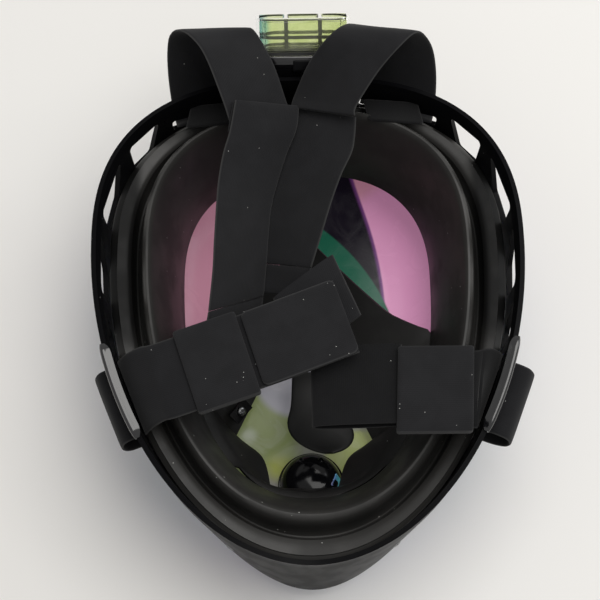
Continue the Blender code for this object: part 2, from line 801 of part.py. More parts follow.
def build_ear_rail(word, side, gloss):
    """The glossy rail along the top of the rim wall that guards the ear slots."""
    loops = []
    for degrees in (109.3, 112, 116, 120, 124, 128, 132):
        base = ring_point(degrees, RIM_TOP)
        ahead = ring_point(degrees + 1, RIM_TOP) - ring_point(degrees - 1, RIM_TOP)
        out = Vector((ahead.y, -ahead.x, 0)).normalized()
        out = -out if out.x < 0 else out
        base.z += GAP + 0.1
        corners = [(-2.4, 0), (3.4, 0), (5.2, 1.4), (5.2, 3.6), (3.2, 4.6), (1.4, 2.6), (-2.4, 2.2)]
        loop = [base + out * a + Vector((0, 0, b)) for a, b in corners]
        loops.append([Vector((p.x * side, p.y, p.z)) for p in loop])
    return stack("ear_rail_" + word, loops, gloss)


def build_lower_harness(word, side, stations, fabric, trim):
    """A lower strap, the keeper on its straight run and the patch stitched over its end."""
    start = stations[0][0]
    rows = smooth_stations(stations, 4, KEEPER_RUN)
    web("lower_strap_" + word, rows, fabric, middle=start)
    if side < 0:
        keeper_ends, patch_ends = (3.19, 3.88), (3.93, 6.0)
    else:
        keeper_ends, patch_ends = (3.03, 3.88), (4.05, 5.9)
    patch = part_of(stations, *patch_ends, 5, KEEPER_RUN)
    web("grip_patch_" + word, patch, trim, lift=STRAP_THICKNESS + GAP, middle=start)
    held = part_of(stations, *keeper_ends, 3, KEEPER_RUN)
    keeper("strap_keeper_" + word, held, trim, 0.45)


def build_screws(steel):
    """Screws through the rim's foot into the window's edge, two at the brow and two at the chin."""
    spots = {"brow_left": -40, "brow_right": 40, "chin_left": -155, "chin_right": 155}
    for word, degrees in spots.items():
        place = ring_point(degrees % 360, grow_ring(blend_rings(RIM_FOOT, RIM_TOP, 0.1), 0.4))
        after = ring_point((degrees + 1) % 360, RIM_FOOT)
        ahead = after - ring_point((degrees - 1) % 360, RIM_FOOT)
        out = Vector((-ahead.y, ahead.x, 0)).normalized()
        if out.dot(Vector((place.x, place.y - OUTLINE_MIDDLE_Y, 0))) < 0:
            out.negate()
        profile = [(0.0, 2.6), (1.0, 2.5), (1.5, 1.6)]
        turned("rim_screw_" + word, place, out, profile, steel, 16)


def main():
    clear_scene()
    gloss = make_material("gloss_black", (0.012, 0.012, 0.014), 0.18)
    rubber = make_material("silicone_black", (0.03, 0.03, 0.032), 0.55)
    fabric = make_material("webbing_black", (0.016, 0.016, 0.018), 0.9)
    trim = make_material("grip_black", (0.022, 0.022, 0.025), 0.95)
    clear = make_material("window_pink", (0.85, 0.45, 0.62), 0.05, alpha=0.35)
    tube = make_material("socket_green", (0.72, 0.8, 0.45), 0.05, alpha=0.35)
    steel = make_material("screw_steel", (0.6, 0.6, 0.62), 0.3, metallic=1.0)

    build_visor(clear)
    build_rim(gloss)
    build_visor_seal(rubber)
    build_face_skirt(rubber)
    build_nose_pocket(rubber)
    build_cheek_valves(gloss, rubber, steel)
    build_purge(gloss, rubber)
    build_socket(tube, gloss, rubber)
    build_screws(steel)
    build_upper_harness(fabric)
    build_crown(fabric, trim)
    for word, side, stations in (
        ("left", -1, LOWER_STRAP_LEFT),
        ("right", 1, LOWER_STRAP_RIGHT),
    ):
        build_ear_rail(word, side, gloss)
        build_ear_loop(word, side, fabric)
        build_lower_harness(word, side, stations, fabric, trim)


main()
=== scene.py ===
# %% [markdown]
# # A full-face snorkel mask, lying on its window
# The mask is a dished window in an open-work rim, a soft face skirt, a nose-and-mouth pocket, a
# clear snorkel socket and a harness of elastic straps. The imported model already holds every
# working part at its true place. This script dresses it: each cell builds one piece around the
# frame, gives it a finish and says which moving body it belongs to.

# %% Load the frame
import math

import bmesh
import bpy
import numpy as np
from mathutils import Matrix, Vector, geometry, noise


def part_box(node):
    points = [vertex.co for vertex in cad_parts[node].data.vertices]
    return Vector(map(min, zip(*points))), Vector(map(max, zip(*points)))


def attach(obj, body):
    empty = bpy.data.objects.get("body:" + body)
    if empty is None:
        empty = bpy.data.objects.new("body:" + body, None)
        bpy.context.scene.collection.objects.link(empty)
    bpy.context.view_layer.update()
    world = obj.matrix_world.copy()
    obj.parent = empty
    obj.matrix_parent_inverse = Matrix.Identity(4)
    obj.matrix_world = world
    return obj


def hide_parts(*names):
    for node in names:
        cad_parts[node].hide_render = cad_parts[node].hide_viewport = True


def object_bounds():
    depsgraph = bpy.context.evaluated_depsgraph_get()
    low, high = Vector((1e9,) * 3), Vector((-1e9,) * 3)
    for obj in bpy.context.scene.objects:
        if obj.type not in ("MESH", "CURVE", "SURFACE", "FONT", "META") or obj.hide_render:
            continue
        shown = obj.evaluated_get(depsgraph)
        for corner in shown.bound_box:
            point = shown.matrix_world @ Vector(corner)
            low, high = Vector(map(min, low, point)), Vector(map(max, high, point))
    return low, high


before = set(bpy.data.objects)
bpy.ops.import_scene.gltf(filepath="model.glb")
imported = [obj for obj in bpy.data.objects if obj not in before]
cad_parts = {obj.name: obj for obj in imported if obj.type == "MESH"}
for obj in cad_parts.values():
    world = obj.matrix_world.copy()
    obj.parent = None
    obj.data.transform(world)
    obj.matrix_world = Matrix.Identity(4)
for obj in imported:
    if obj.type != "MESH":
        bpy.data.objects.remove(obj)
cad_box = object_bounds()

MM = 0.001

# %% [markdown]
# ## Helpers that every piece needs
# Sizes are millimetres while a shape is worked out, and become metres when its mesh is made.
# A piece is always one mesh object that rides on one body, so making it and putting it on that
# body is the same few steps each time.


# %% Make a piece and put it on its body
def add_piece(name, points, faces, materials, sharp_degrees=38.0):
    """One mesh object from points in millimetres, shaded smooth except at sharp edges."""
    mesh = bpy.data.meshes.new(name)
    mesh.from_pydata([Vector(p) * MM for p in points], [], faces)
    for material in materials if isinstance(materials, list) else [materials]:
        mesh.materials.append(material)
    tidy = bmesh.new()
    tidy.from_mesh(mesh)
    bmesh.ops.recalc_face_normals(tidy, faces=tidy.faces)
    tidy.to_mesh(mesh)
    tidy.free()
    mesh.shade_smooth()
    mesh.set_sharp_from_angle(angle=math.radians(sharp_degrees))
    obj = bpy.data.objects.new(name, mesh)
    bpy.context.scene.collection.objects.link(obj)
    return obj


def settle(obj, body, slot, *nodes):
    """The piece rides on a body and stands for these nodes, which it hides. The slot is not used."""
    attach(obj, body)
    if nodes:
        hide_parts(*nodes)
    print(f"{obj.name}: {len(obj.data.polygons)} faces, on {body}")
    return obj


def round_edges(obj, width, segments=2, degrees=35.0):
    """A bevel on every edge sharper than this, as moulding leaves it."""
    bevel = obj.modifiers.new("rounded edges", "BEVEL")
    bevel.width = width * MM
    bevel.segments = segments
    bevel.limit_method = "ANGLE"
    bevel.angle_limit = math.radians(degrees)
    bevel.harden_normals = True


def loop_faces(loops, count, closed):
    """Quads joining each loop of points to the next, and the last to the first if closed."""
    faces = []
    for k in range(loops if closed else loops - 1):
        a, b = k * count, (k + 1) % loops * count
        for i in range(count):
            j = (i + 1) % count
            faces.append((a + i, a + j, b + j, b + i))
    return faces


def loft(name, loops, materials, closed=False, sharp_degrees=38.0):
    """A solid through loops of points: a ring if closed, and otherwise with a face at each end."""
    count = len(loops[0])
    points = [p for loop in loops for p in loop]
    faces = loop_faces(len(loops), count, closed)
    if not closed:
        faces.append(tuple(range(count)))
        faces.append(tuple(len(points) - count + i for i in range(count)))
    return add_piece(name, points, faces, materials, sharp_degrees)


# %% [markdown]
# ## Curves
# A moulded part or a strap is known at a few sections. A Catmull-Rom curve passes through every
# one of them and bends smoothly in between, so a short list is enough. Writing a value twice in
# the list makes a crisp corner there.


# %% Smooth curves through a few values
def curve_value(four, t):
    """Catmull-Rom interpolation between the middle two of four numbers or vectors."""
    a, b, c, d = four
    square, cube = t * t, t * t * t
    return (
        b * (1 - 2.5 * square + 1.5 * cube)
        + c * (0.5 * t + 2 * square - 1.5 * cube)
        + a * (-0.5 * t + square - 0.5 * cube)
        + d * (0.5 * cube - 0.5 * square)
    )


def smooth_chain(values, steps, closed=False):
    """More tuples of numbers along the same chain. A value written twice is a corner."""
    count = len(values)
    chain = []
    for i in range(count if closed else count - 1):
        picks = [i - 1, i, i + 1, i + 2]
        picks = [k % count if closed else min(max(k, 0), count - 1) for k in picks]
        four = [values[k] for k in picks]
        if four[1] == four[2]:
            continue
        for k in range(steps):
            chain.append(tuple(curve_value(column, k / steps) for column in zip(*four)))
    return chain if closed else chain + [values[-1]]


# %% [markdown]
# ## Shader groups
# The finishes share a few effects: pale lint that settles on everything black, slow changes of
# tone in soft rubber, the rib of woven elastic, and a round patch of colour. Each effect is a
# node group with named inputs, built once and placed in a material with that material's values.


# %% Node helpers
def add_node(tree, kind, settings=(), **sockets):
    """A node with its settings, and each named input linked or given a value."""
    made = tree.nodes.new(kind)
    for name, value in dict(settings).items():
        setattr(made, name, value)
    for name, value in sockets.items():
        feed(tree, made.inputs[name.replace("_", " ")], value)
    return made


def feed(tree, socket, value):
    if isinstance(value, bpy.types.NodeSocket):
        tree.links.new(value, socket)
    else:
        socket.default_value = value


def maths(tree, operation, first, second=0.0, clamp=False):
    made = tree.nodes.new("ShaderNodeMath")
    made.operation = operation
    made.use_clamp = clamp
    feed(tree, made.inputs[0], first)
    feed(tree, made.inputs[1], second)
    return made.outputs[0]


def span(tree, value, low, high, to_low=0.0, to_high=1.0):
    """Maps low..high to to_low..to_high smoothly, and holds the ends."""
    made = add_node(tree, "ShaderNodeMapRange", {"interpolation_type": "SMOOTHSTEP"})
    for name, number in (
        ("From Min", low),
        ("From Max", high),
        ("To Min", to_low),
        ("To Max", to_high),
    ):
        feed(tree, made.inputs[name], number)
    feed(tree, made.inputs["Value"], value)
    return made.outputs["Result"]


def mix_colours(tree, share, first, second):
    made = tree.nodes.new("ShaderNodeMix")
    made.data_type = "RGBA"
    feed(tree, made.inputs["Factor"], share)
    feed(tree, made.inputs[6], first)
    feed(tree, made.inputs[7], second)
    return made.outputs[2]


def new_group(name, inputs, outputs):
    """A shader node group with sockets given as (name, kind, default)."""
    group = bpy.data.node_groups.new(name, "ShaderNodeTree")
    for label, kind, default in inputs:
        socket = group.interface.new_socket(label, in_out="INPUT", socket_type=kind)
        if default is not None:
            socket.default_value = default
    for label, kind in outputs:
        group.interface.new_socket(label, in_out="OUTPUT", socket_type=kind)
    source = group.nodes.new("NodeGroupInput")
    drain = group.nodes.new("NodeGroupOutput")
    return group, source, drain


def use_group(tree, group, **sockets):
    made = add_node(tree, "ShaderNodeGroup", {"node_tree": group})
    for name, value in sockets.items():
        feed(tree, made.inputs[name.replace("_", " ")], value)
    return made


VALUE, VECTOR = "NodeSocketFloat", "NodeSocketVector"


# %% Lint: sparse pale specks
def build_lint_group():
    group, source, drain = new_group(
        "lint specks",
        [
            ("Place", VECTOR, None),
            ("Spacing mm", VALUE, 3.0),
            ("Speck mm", VALUE, 0.25),
            ("Kept", VALUE, 0.1),
        ],
        [("Mask", VALUE)],
    )
    scale = maths(group, "DIVIDE", 1000.0, source.outputs["Spacing mm"])
    cells = add_node(group, "ShaderNodeTexVoronoi", Vector=source.outputs["Place"], Scale=scale)
    reach = maths(group, "DIVIDE", source.outputs["Speck mm"], source.outputs["Spacing mm"])
    close = maths(group, "LESS_THAN", cells.outputs["Distance"], reach)
    chance = add_node(group, "ShaderNodeSeparateColor", Color=cells.outputs["Color"])
    kept = maths(group, "LESS_THAN", chance.outputs["Red"], source.outputs["Kept"])
    group.links.new(maths(group, "MULTIPLY", close, kept), drain.inputs["Mask"])
    return group


LINT = build_lint_group()
print("shader group:", LINT.name)


# %% Mottle: slow changes of tone, and fine grain
def build_mottle_group():
    group, source, drain = new_group(
        "mottle",
        [("Place", VECTOR, None), ("Patch mm", VALUE, 14.0), ("Grain mm", VALUE, 0.5)],
        [("Tone", VALUE), ("Grain", VALUE)],
    )
    patch = maths(group, "DIVIDE", 1000.0, source.outputs["Patch mm"])
    grain = maths(group, "DIVIDE", 1000.0, source.outputs["Grain mm"])
    slow = add_node(
        group, "ShaderNodeTexNoise", Vector=source.outputs["Place"], Scale=patch, Detail=4.0
    )
    fine = add_node(
        group, "ShaderNodeTexNoise", Vector=source.outputs["Place"], Scale=grain, Detail=2.0
    )
    group.links.new(span(group, slow.outputs["Fac"], 0.3, 0.7), drain.inputs["Tone"])
    group.links.new(fine.outputs["Fac"], drain.inputs["Grain"])
    return group


MOTTLE = build_mottle_group()
print("shader group:", MOTTLE.name)


# %% Weave: ribs along the elastic, picks across it, and a mask along its edges
def build_weave_group():
    group, source, drain = new_group(
        "elastic weave",
        [("Cloth", VECTOR, None), ("Rib mm", VALUE, 0.9), ("Pick mm", VALUE, 0.7)],
        [("Height", VALUE), ("Edge", VALUE)],
    )
    parts = add_node(group, "ShaderNodeSeparateXYZ", Vector=source.outputs["Cloth"])
    across, along, inset = parts.outputs["X"], parts.outputs["Y"], parts.outputs["Z"]
    rib_place = maths(group, "DIVIDE", across, source.outputs["Rib mm"])
    rib_turn = maths(group, "MULTIPLY", rib_place, math.pi)
    rib = maths(group, "ABSOLUTE", maths(group, "SINE", rib_turn))
    column = maths(group, "FLOOR", rib_place)
    shift = maths(group, "MULTIPLY", column, 0.5)
    pick_place = maths(group, "DIVIDE", along, source.outputs["Pick mm"])
    pick_turn = maths(group, "MULTIPLY", maths(group, "ADD", pick_place, shift), math.pi)
    pick = maths(group, "ABSOLUTE", maths(group, "SINE", pick_turn))
    rise = maths(group, "ADD", 0.4, maths(group, "MULTIPLY", pick, 0.6))
    height = maths(group, "MULTIPLY", rib, rise)
    group.links.new(height, drain.inputs["Height"])
    group.links.new(span(group, inset, 0.9, 0.1), drain.inputs["Edge"])
    return group


WEAVE = build_weave_group()
print("shader group:", WEAVE.name)


# %% Disc: a round patch of colour seen from above
def build_disc_group():
    group, source, drain = new_group(
        "disc patch",
        [
            ("Place", VECTOR, None),
            ("X mm", VALUE, 0.0),
            ("Y mm", VALUE, 0.0),
            ("Radius mm", VALUE, 10.0),
            ("Blur mm", VALUE, 1.0),
        ],
        [("Mask", VALUE)],
    )
    parts = add_node(group, "ShaderNodeSeparateXYZ", Vector=source.outputs["Place"])
    squares = []
    for axis in ("X", "Y"):
        place = maths(group, "MULTIPLY", parts.outputs[axis], 1000.0)
        offset = maths(group, "SUBTRACT", place, source.outputs[axis + " mm"])
        squares.append(maths(group, "MULTIPLY", offset, offset))
    distance = maths(group, "SQRT", maths(group, "ADD", *squares))
    outside = maths(group, "SUBTRACT", distance, source.outputs["Radius mm"])
    share = maths(group, "DIVIDE", outside, source.outputs["Blur mm"])
    group.links.new(span(group, share, 0.5, -0.5), drain.inputs["Mask"])
    return group


DISC = build_disc_group()
print("shader group:", DISC.name)

# %% [markdown]
# ## Finishes
# Every finish is a Principled shader with its plain numbers set on the shader itself. The groups
# above feed its colour, its roughness and a bump, because those change over the surface.


# %% Start a material
def start_material(name, **values):
    """A material with its shader's plain values set. Returns it, its tree and the shader."""
    material = bpy.data.materials.new(name)
    material.use_nodes = True
    tree = material.node_tree
    shader = tree.nodes["Principled BSDF"]
    for label, value in values.items():
        shader.inputs[label.replace("_", " ")].default_value = value
    return material, tree, shader


def object_place(tree):
    return tree.nodes.new("ShaderNodeTexCoord").outputs["Object"]


def add_bump(tree, shader, height, depth_mm, strength=1.0):
    depth = depth_mm * MM
    bump = add_node(tree, "ShaderNodeBump", Height=height, Distance=depth, Strength=strength)
    tree.links.new(bump.outputs["Normal"], shader.inputs["Normal"])


def with_lint(tree, colour, place, spacing, speck, kept, pale=(0.42, 0.42, 0.4, 1)):
    specks = use_group(tree, LINT, Place=place, Spacing_mm=spacing, Speck_mm=speck, Kept=kept)
    return mix_colours(tree, specks.outputs["Mask"], colour, pale)


# %% Soft silicone, hard gloss plastic and steel
def make_silicone(name, dark, light, smooth, rough, kept=0.12):
    """Matt rubber whose tone and roughness drift, with a moulded grain and a little lint."""
    material, tree, shader = start_material(name, Specular_IOR_Level=0.42)
    place = object_place(tree)
    mottle = use_group(tree, MOTTLE, Place=place, Patch_mm=18.0, Grain_mm=0.7)
    tone = mix_colours(tree, mottle.outputs["Tone"], (*dark, 1), (*light, 1))
    colour = with_lint(tree, tone, place, 3.4, 0.28, kept)
    feed(tree, shader.inputs["Base Color"], colour)
    roughness = span(tree, mottle.outputs["Tone"], 0, 1, rough, smooth)
    feed(tree, shader.inputs["Roughness"], roughness)
    add_bump(tree, shader, mottle.outputs["Grain"], 0.05, 0.5)
    return material


def make_gloss(name, colour, roughness=0.16, kept=0.06, coat=0.5, shine=0.5):
    """Polished moulded plastic, with faint smears that dull it here and there."""
    material, tree, shader = start_material(
        name, Specular_IOR_Level=shine, Coat_Roughness=0.06, Coat_Weight=coat
    )
    place = object_place(tree)
    mottle = use_group(tree, MOTTLE, Place=place, Patch_mm=9.0, Grain_mm=1.6)
    feed(tree, shader.inputs["Base Color"], with_lint(tree, (*colour, 1), place, 3.6, 0.22, kept))
    feed(
        tree,
        shader.inputs["Roughness"],
        span(tree, mottle.outputs["Tone"], 0, 1, roughness, roughness + 0.08),
    )
    add_bump(tree, shader, mottle.outputs["Grain"], 0.02, 0.35)
    return material


def make_steel(name):
    """Turned stainless steel: bright, with fine rings of uneven polish."""
    material, tree, shader = start_material(name, Metallic=1.0)
    place = object_place(tree)
    mottle = use_group(tree, MOTTLE, Place=place, Patch_mm=1.2, Grain_mm=0.3)
    tone = mix_colours(tree, mottle.outputs["Tone"], (0.16, 0.165, 0.17, 1), (0.34, 0.345, 0.35, 1))
    feed(tree, shader.inputs["Base Color"], tone)
    feed(tree, shader.inputs["Roughness"], span(tree, mottle.outputs["Tone"], 0, 1, 0.2, 0.38))
    add_bump(tree, shader, mottle.outputs["Grain"], 0.02, 0.4)
    return material


# %% The skirt's shaded flanges
SHADED_RUBBER = (0.006, 0.006, 0.006, 1)
FLANGE_START, FLANGE_END = 0.077, 0.084  # metres from the middle line
SHADE_START, SHADE_END = -0.035, -0.005  # metres towards the forehead


def paint_shade_on_flanges(material):
    """Paints shade on the skirt's outer flanges beside the temples, where they lie in the rim's
    shade: a darker colour and a weaker highlight.
    """
    tree = material.node_tree
    shader = tree.nodes["Principled BSDF"]
    parts = add_node(tree, "ShaderNodeSeparateXYZ", Vector=object_place(tree))
    aside = maths(tree, "ABSOLUTE", parts.outputs["X"])
    outer = span(tree, aside, FLANGE_START, FLANGE_END)
    upper = span(tree, parts.outputs["Y"], SHADE_START, SHADE_END)
    shade = maths(tree, "MULTIPLY", outer, upper)
    colour = shader.inputs["Base Color"].links[0].from_socket
    darker = mix_colours(tree, shade, colour, SHADED_RUBBER)
    feed(tree, shader.inputs["Base Color"], darker)
    feed(tree, shader.inputs["Specular IOR Level"], span(tree, shade, 0, 1, 0.42, 0.14))


# %% Name the moulded finishes
SKIRT_RUBBER = make_silicone(
    "skirt silicone", (0.018, 0.0175, 0.0165), (0.027, 0.026, 0.0245), smooth=0.42, rough=0.55
)
# Painted shade on the skirt's flanges beside the temples.
paint_shade_on_flanges(SKIRT_RUBBER)
POCKET_RUBBER = make_silicone(
    "pocket silicone", (0.009, 0.0085, 0.0085), (0.014, 0.0135, 0.013), 0.45, 0.6, kept=0.05
)
SHELF_RUBBER = make_silicone("shelf silicone", (0.004,) * 3, (0.007,) * 3, 0.4, 0.5, kept=0.02)
SEAL_RUBBER = make_silicone("seal rubber", (0.008,) * 3, (0.013,) * 3, 0.5, 0.65, kept=0.02)
RIM_GLOSS = make_gloss("rim gloss black", (0.0032, 0.0032, 0.0038), 0.3, 0.04, coat=0.0, shine=0.06)
PART_GLOSS = make_gloss("small part gloss black", (0.005, 0.005, 0.006), 0.14, 0.03)
DOME_GLOSS = make_gloss("valve dome gloss black", (0.004, 0.004, 0.005), 0.1, 0.02, 0.0, 0.3)
RAIL_GLOSS = make_gloss("ear rail gloss black", (0.006, 0.006, 0.007), 0.12, 0.02, 0.7, 0.6)
STEEL = make_steel("screw steel")
print("finishes: silicone, gloss plastic, steel")


# %% Woven elastic and its hook-and-loop trim
def make_webbing(name, colour, edge_highlight_colour, fuzz=0.5, kept=0.1):
    """Ribbed elastic: the weave gives height and tone, and its edges are painted paler, as a painted
    highlight along them.
    """
    material, tree, shader = start_material(
        name, Specular_IOR_Level=0.12, Sheen_Weight=0.07, Sheen_Roughness=0.6
    )
    cloth = add_node(tree, "ShaderNodeAttribute", {"attribute_name": "cloth"}).outputs["Vector"]
    place = object_place(tree)
    weave = use_group(tree, WEAVE, Cloth=cloth, Rib_mm=0.9, Pick_mm=0.75)
    mottle = use_group(tree, MOTTLE, Place=place, Patch_mm=11.0, Grain_mm=0.35)
    deep = tuple(c * 0.85 for c in colour)
    tone = mix_colours(tree, weave.outputs["Height"], (*deep, 1), (*(c * 1.1 for c in colour), 1))
    drift = span(tree, mottle.outputs["Tone"], 0, 1, 0.0, 0.35)
    tone = mix_colours(tree, drift, tone, (*(c * 1.5 for c in colour), 1))
    # Painted highlight along the strap's edges.
    tone = mix_colours(tree, weave.outputs["Edge"], tone, (*edge_highlight_colour, 1))
    feed(tree, shader.inputs["Base Color"], with_lint(tree, tone, place, 2.8, 0.2, kept))
    feed(tree, shader.inputs["Roughness"], span(tree, mottle.outputs["Grain"], 0.2, 0.8, 0.8, 0.98))
    fluff = maths(tree, "MULTIPLY", mottle.outputs["Grain"], fuzz)
    add_bump(tree, shader, maths(tree, "ADD", weave.outputs["Height"], fluff), 0.12, 0.35)
    return material


STRAP_CLOTH = make_webbing("strap elastic", (0.0095, 0.0095, 0.0107), (0.03, 0.03, 0.03))
# The same elastic painted darker, as painted shade, for the stretches that lie in shade: the tabs
# inside the rim, the crown's fold, and the right lower strap and its sleeve.
SHADED_CLOTH = make_webbing(
    "strap elastic in painted shade", (0.0045, 0.0045, 0.005), (0.014, 0.014, 0.015), fuzz=0.3, kept=0.03
)
TRIM_CLOTH = make_webbing(
    "hook and loop trim", (0.0115, 0.0115, 0.0127), (0.034, 0.034, 0.035), fuzz=1.4, kept=0.16
)
print("finishes: elastic webbing in three tones")


# %% [markdown]
# ## The window's two faces
# The outside of the window has a mirror coating that turns from violet to gold with the angle of
# sight. From inside, the same coating lets rose light through at the eyes and yellow-green light
# through at the mouth, with a dark reflection curving through the right eye. This light and this
# reflection are painted light: the inside is painted by place on the window, as layers of round
# patches, and glows faintly with the same colours.


# %% Window inside
def painted(tree, place, base, layers):
    """Lays round patches of colour over a base: (x, y, radius, blur, colour) each."""
    colour = base
    for x, y, radius, blur, patch in layers:
        disc = use_group(
            tree, DISC, Place=place, X_mm=x, Y_mm=y, Radius_mm=radius, Blur_mm=blur
        )
        colour = mix_colours(tree, disc.outputs["Mask"], colour, (*patch, 1))
    return colour


ROSE_LEFT, ROSE_RIGHT = (0.66, 0.31, 0.42), (0.76, 0.345, 0.575)
LILAC = (0.62, 0.52, 0.66)
PLUM_REFLECTION, LEAF_GREEN = (0.008, 0.006, 0.012), (0.012, 0.105, 0.062)
# Painted light at the eyes: rose and lilac light, a dark painted reflection band through the right
# eye, and green light beside it.
EYE_LAYERS = [
    (60, 30, 62, 8, ROSE_RIGHT),
    (-148, 20, 188.6, 1.2, (0.16, 0.05, 0.2)),
    (-148, 20, 187.2, 2.0, PLUM_REFLECTION),
    (-60, -15, 109, 1.2, LEAF_GREEN),
    (-104, 30, 100, 2.0, ROSE_LEFT),
    (-36, -8, 17, 6, LILAC),
]
MOSS, STRAW, HAZE = (0.21, 0.255, 0.10), (0.36, 0.41, 0.15), (0.33, 0.33, 0.37)
# Painted light at the mouth: yellow-green, straw and grey patches of light coming through the
# window.
MOUTH_LAYERS = [
    (30, -52, 36, 10, (0.25, 0.255, 0.215)),
    (26, -62, 20, 4, STRAW),
    (-14, -84, 24, 7, (0.26, 0.25, 0.24)),
    (-16, -61, 6, 9, (0.33, 0.36, 0.08)),
    (-6, -12, 22, 5, HAZE),
    (-31, -43.5, 3.4, 6, (0.36, 0.4, 0.3)),
]


def make_window_inside():
    # The painted light goes into the colour, and the same colour glows faintly as painted light
    # coming through the window.
    material, tree, shader = start_material(
        "window inside painted light", Specular_IOR_Level=0.3, Emission_Strength=0.27
    )
    place = object_place(tree)
    eyes = painted(tree, place, (*ROSE_LEFT, 1), EYE_LAYERS)
    mouth = painted(tree, place, (*MOSS, 1), MOUTH_LAYERS)
    parts = add_node(tree, "ShaderNodeSeparateXYZ", Vector=place)
    lower = span(tree, parts.outputs["Y"], -0.006, -0.009)
    colour = mix_colours(tree, lower, eyes, mouth)
    streak = add_node(
        tree, "ShaderNodeTexNoise", Vector=place, Scale=60.0, Detail=2.0, Distortion=1.5
    )
    tone = maths(tree, "MULTIPLY", span(tree, streak.outputs["Fac"], 0.35, 0.8, 0.0, 0.2), lower)
    colour = mix_colours(tree, tone, colour, (0.5, 0.5, 0.48, 1))
    feed(tree, shader.inputs["Base Color"], colour)
    feed(tree, shader.inputs["Emission Color"], colour)
    feed(tree, shader.inputs["Roughness"], span(tree, streak.outputs["Fac"], 0.3, 0.7, 0.16, 0.3))
    return material


# %% Window outside
def make_window_outside():
    material, tree, shader = start_material(
        "window outside mirror", Metallic=0.85, Coat_Weight=1.0, Coat_Roughness=0.03
    )
    place = object_place(tree)
    facing = tree.nodes.new("ShaderNodeLayerWeight")
    facing.inputs["Blend"].default_value = 0.49
    ramp = tree.nodes.new("ShaderNodeValToRGB")
    ramp.color_ramp.elements[0].color = (0.30, 0.07, 0.42, 1)
    ramp.color_ramp.elements[1].color = (0.62, 0.44, 0.12, 1)
    for stop, tone in ((0.35, (0.08, 0.16, 0.5, 1)), (0.65, (0.05, 0.36, 0.3, 1))):
        ramp.color_ramp.elements.new(stop).color = tone
    mottle = use_group(tree, MOTTLE, Place=place, Patch_mm=45.0, Grain_mm=0.8)
    drift = maths(tree, "MULTIPLY", mottle.outputs["Tone"], 0.18)
    turned = maths(tree, "ADD", facing.outputs["Facing"], drift, clamp=True)
    tree.links.new(turned, ramp.inputs["Fac"])
    colour = with_lint(tree, ramp.outputs["Color"], place, 4.0, 0.2, 0.05)
    feed(tree, shader.inputs["Base Color"], colour)
    feed(tree, shader.inputs["Roughness"], span(tree, mottle.outputs["Tone"], 0, 1, 0.08, 0.16))
    return material


WINDOW_INSIDE = make_window_inside()
WINDOW_OUTSIDE = make_window_outside()
print("finishes: window inside and outside")

# %% [markdown]
# ## The mask's rings
# Every ring of the mask follows one egg outline: wide at the temples, blunt at the forehead and
# drawn in at the chin. A ring has its half width, its reach up and down from the outline's middle,
# and its height at the forehead, the temples and the chin. The window, rim and skirt are stacks of
# such rings, so they nest inside each other.

# %% Egg outline and rings
OUTLINE_MIDDLE_Y = 25.0
SQUARENESS_ABOVE = 2.5
SQUARENESS_BELOW = 2.0
SQUARER_INWARDS = 0.0088
RIM_HALF_WIDTH = 100.5
RING_POINTS = 144
DRAWN_IN = 0.25  # how much narrower the low, wide rings get at the chin
DRAWN_IN_WIDTHS = (76.0, 88.0)
DRAWN_IN_CHIN_HEIGHTS = (54, 16)
DRAWN_IN_TEMPLE_HEIGHTS = (81.5, 48)


def share_between(value, start, end):
    return min(max((value - start) / (end - start), 0.0), 1.0)


def drawn_in(ring):
    """How much narrower a ring gets at the chin: none near the rim's top, most at its foot."""
    width, _, _, _, z_temple, z_chin = ring
    at_chin = share_between(z_chin, *DRAWN_IN_CHIN_HEIGHTS)
    at_temple = share_between(z_temple, *DRAWN_IN_TEMPLE_HEIGHTS)
    return DRAWN_IN * (at_chin + at_temple) / 2 * share_between(width, *DRAWN_IN_WIDTHS)


def ring_point(degrees, ring):
    """A point of a ring, turning from the forehead towards +X."""
    width, above, below, z_forehead, z_temple, z_chin = ring
    turn = math.radians(degrees)
    s, c = math.sin(turn), math.cos(turn)
    squareness_below = SQUARENESS_BELOW + SQUARER_INWARDS * max(0.0, RIM_HALF_WIDTH - width)
    power = 2 / (SQUARENESS_ABOVE if c >= 0 else squareness_below)
    x = math.copysign(abs(s) ** power, s) * width * (1 - drawn_in(ring) * max(0.0, -c) ** 3)
    y = OUTLINE_MIDDLE_Y + math.copysign(abs(c) ** power, c) * (above if c >= 0 else below)
    z_end = z_forehead if c >= 0 else z_chin
    return Vector((x, y, z_end + (z_temple - z_end) * abs(s) ** 1.6))


def ring_points(ring, count=RING_POINTS):
    return [ring_point(360 * i / count, ring) for i in range(count)]


def grow_ring(ring, outwards, up=0.0):
    width, above, below, *heights = ring
    return (width + outwards, above + outwards, below + outwards, *(z + up for z in heights))


def blend_rings(low, high, share):
    return tuple(a + (b - a) * share for a, b in zip(low, high))


print("a ring has", RING_POINTS, "points")

# %% [markdown]
# ## Window
# One dished shell. Its hole for the chin valve is cut with a Boolean, as on the real one, and its
# outer faces get the mirror finish while its inner faces get the painted one.

# %% Build the window
WINDOW_OUTSIDE_RINGS = [
    (42, 48, 66, 0, 0, 0),
    (60, 62, 90, 2.5, 4, 1.6),
    (76, 72, 116, 10, 15, 6),
    (87, 78, 134, 22, 32, 12.5),
    (94.4, 82.4, 146.2, 37.5, 53.5, 21),
]
WINDOW_THICKNESS = 2.4
VALVE_CENTRE = (0.0, -72.0)
VALVE_HOLE_RADIUS = 13.5


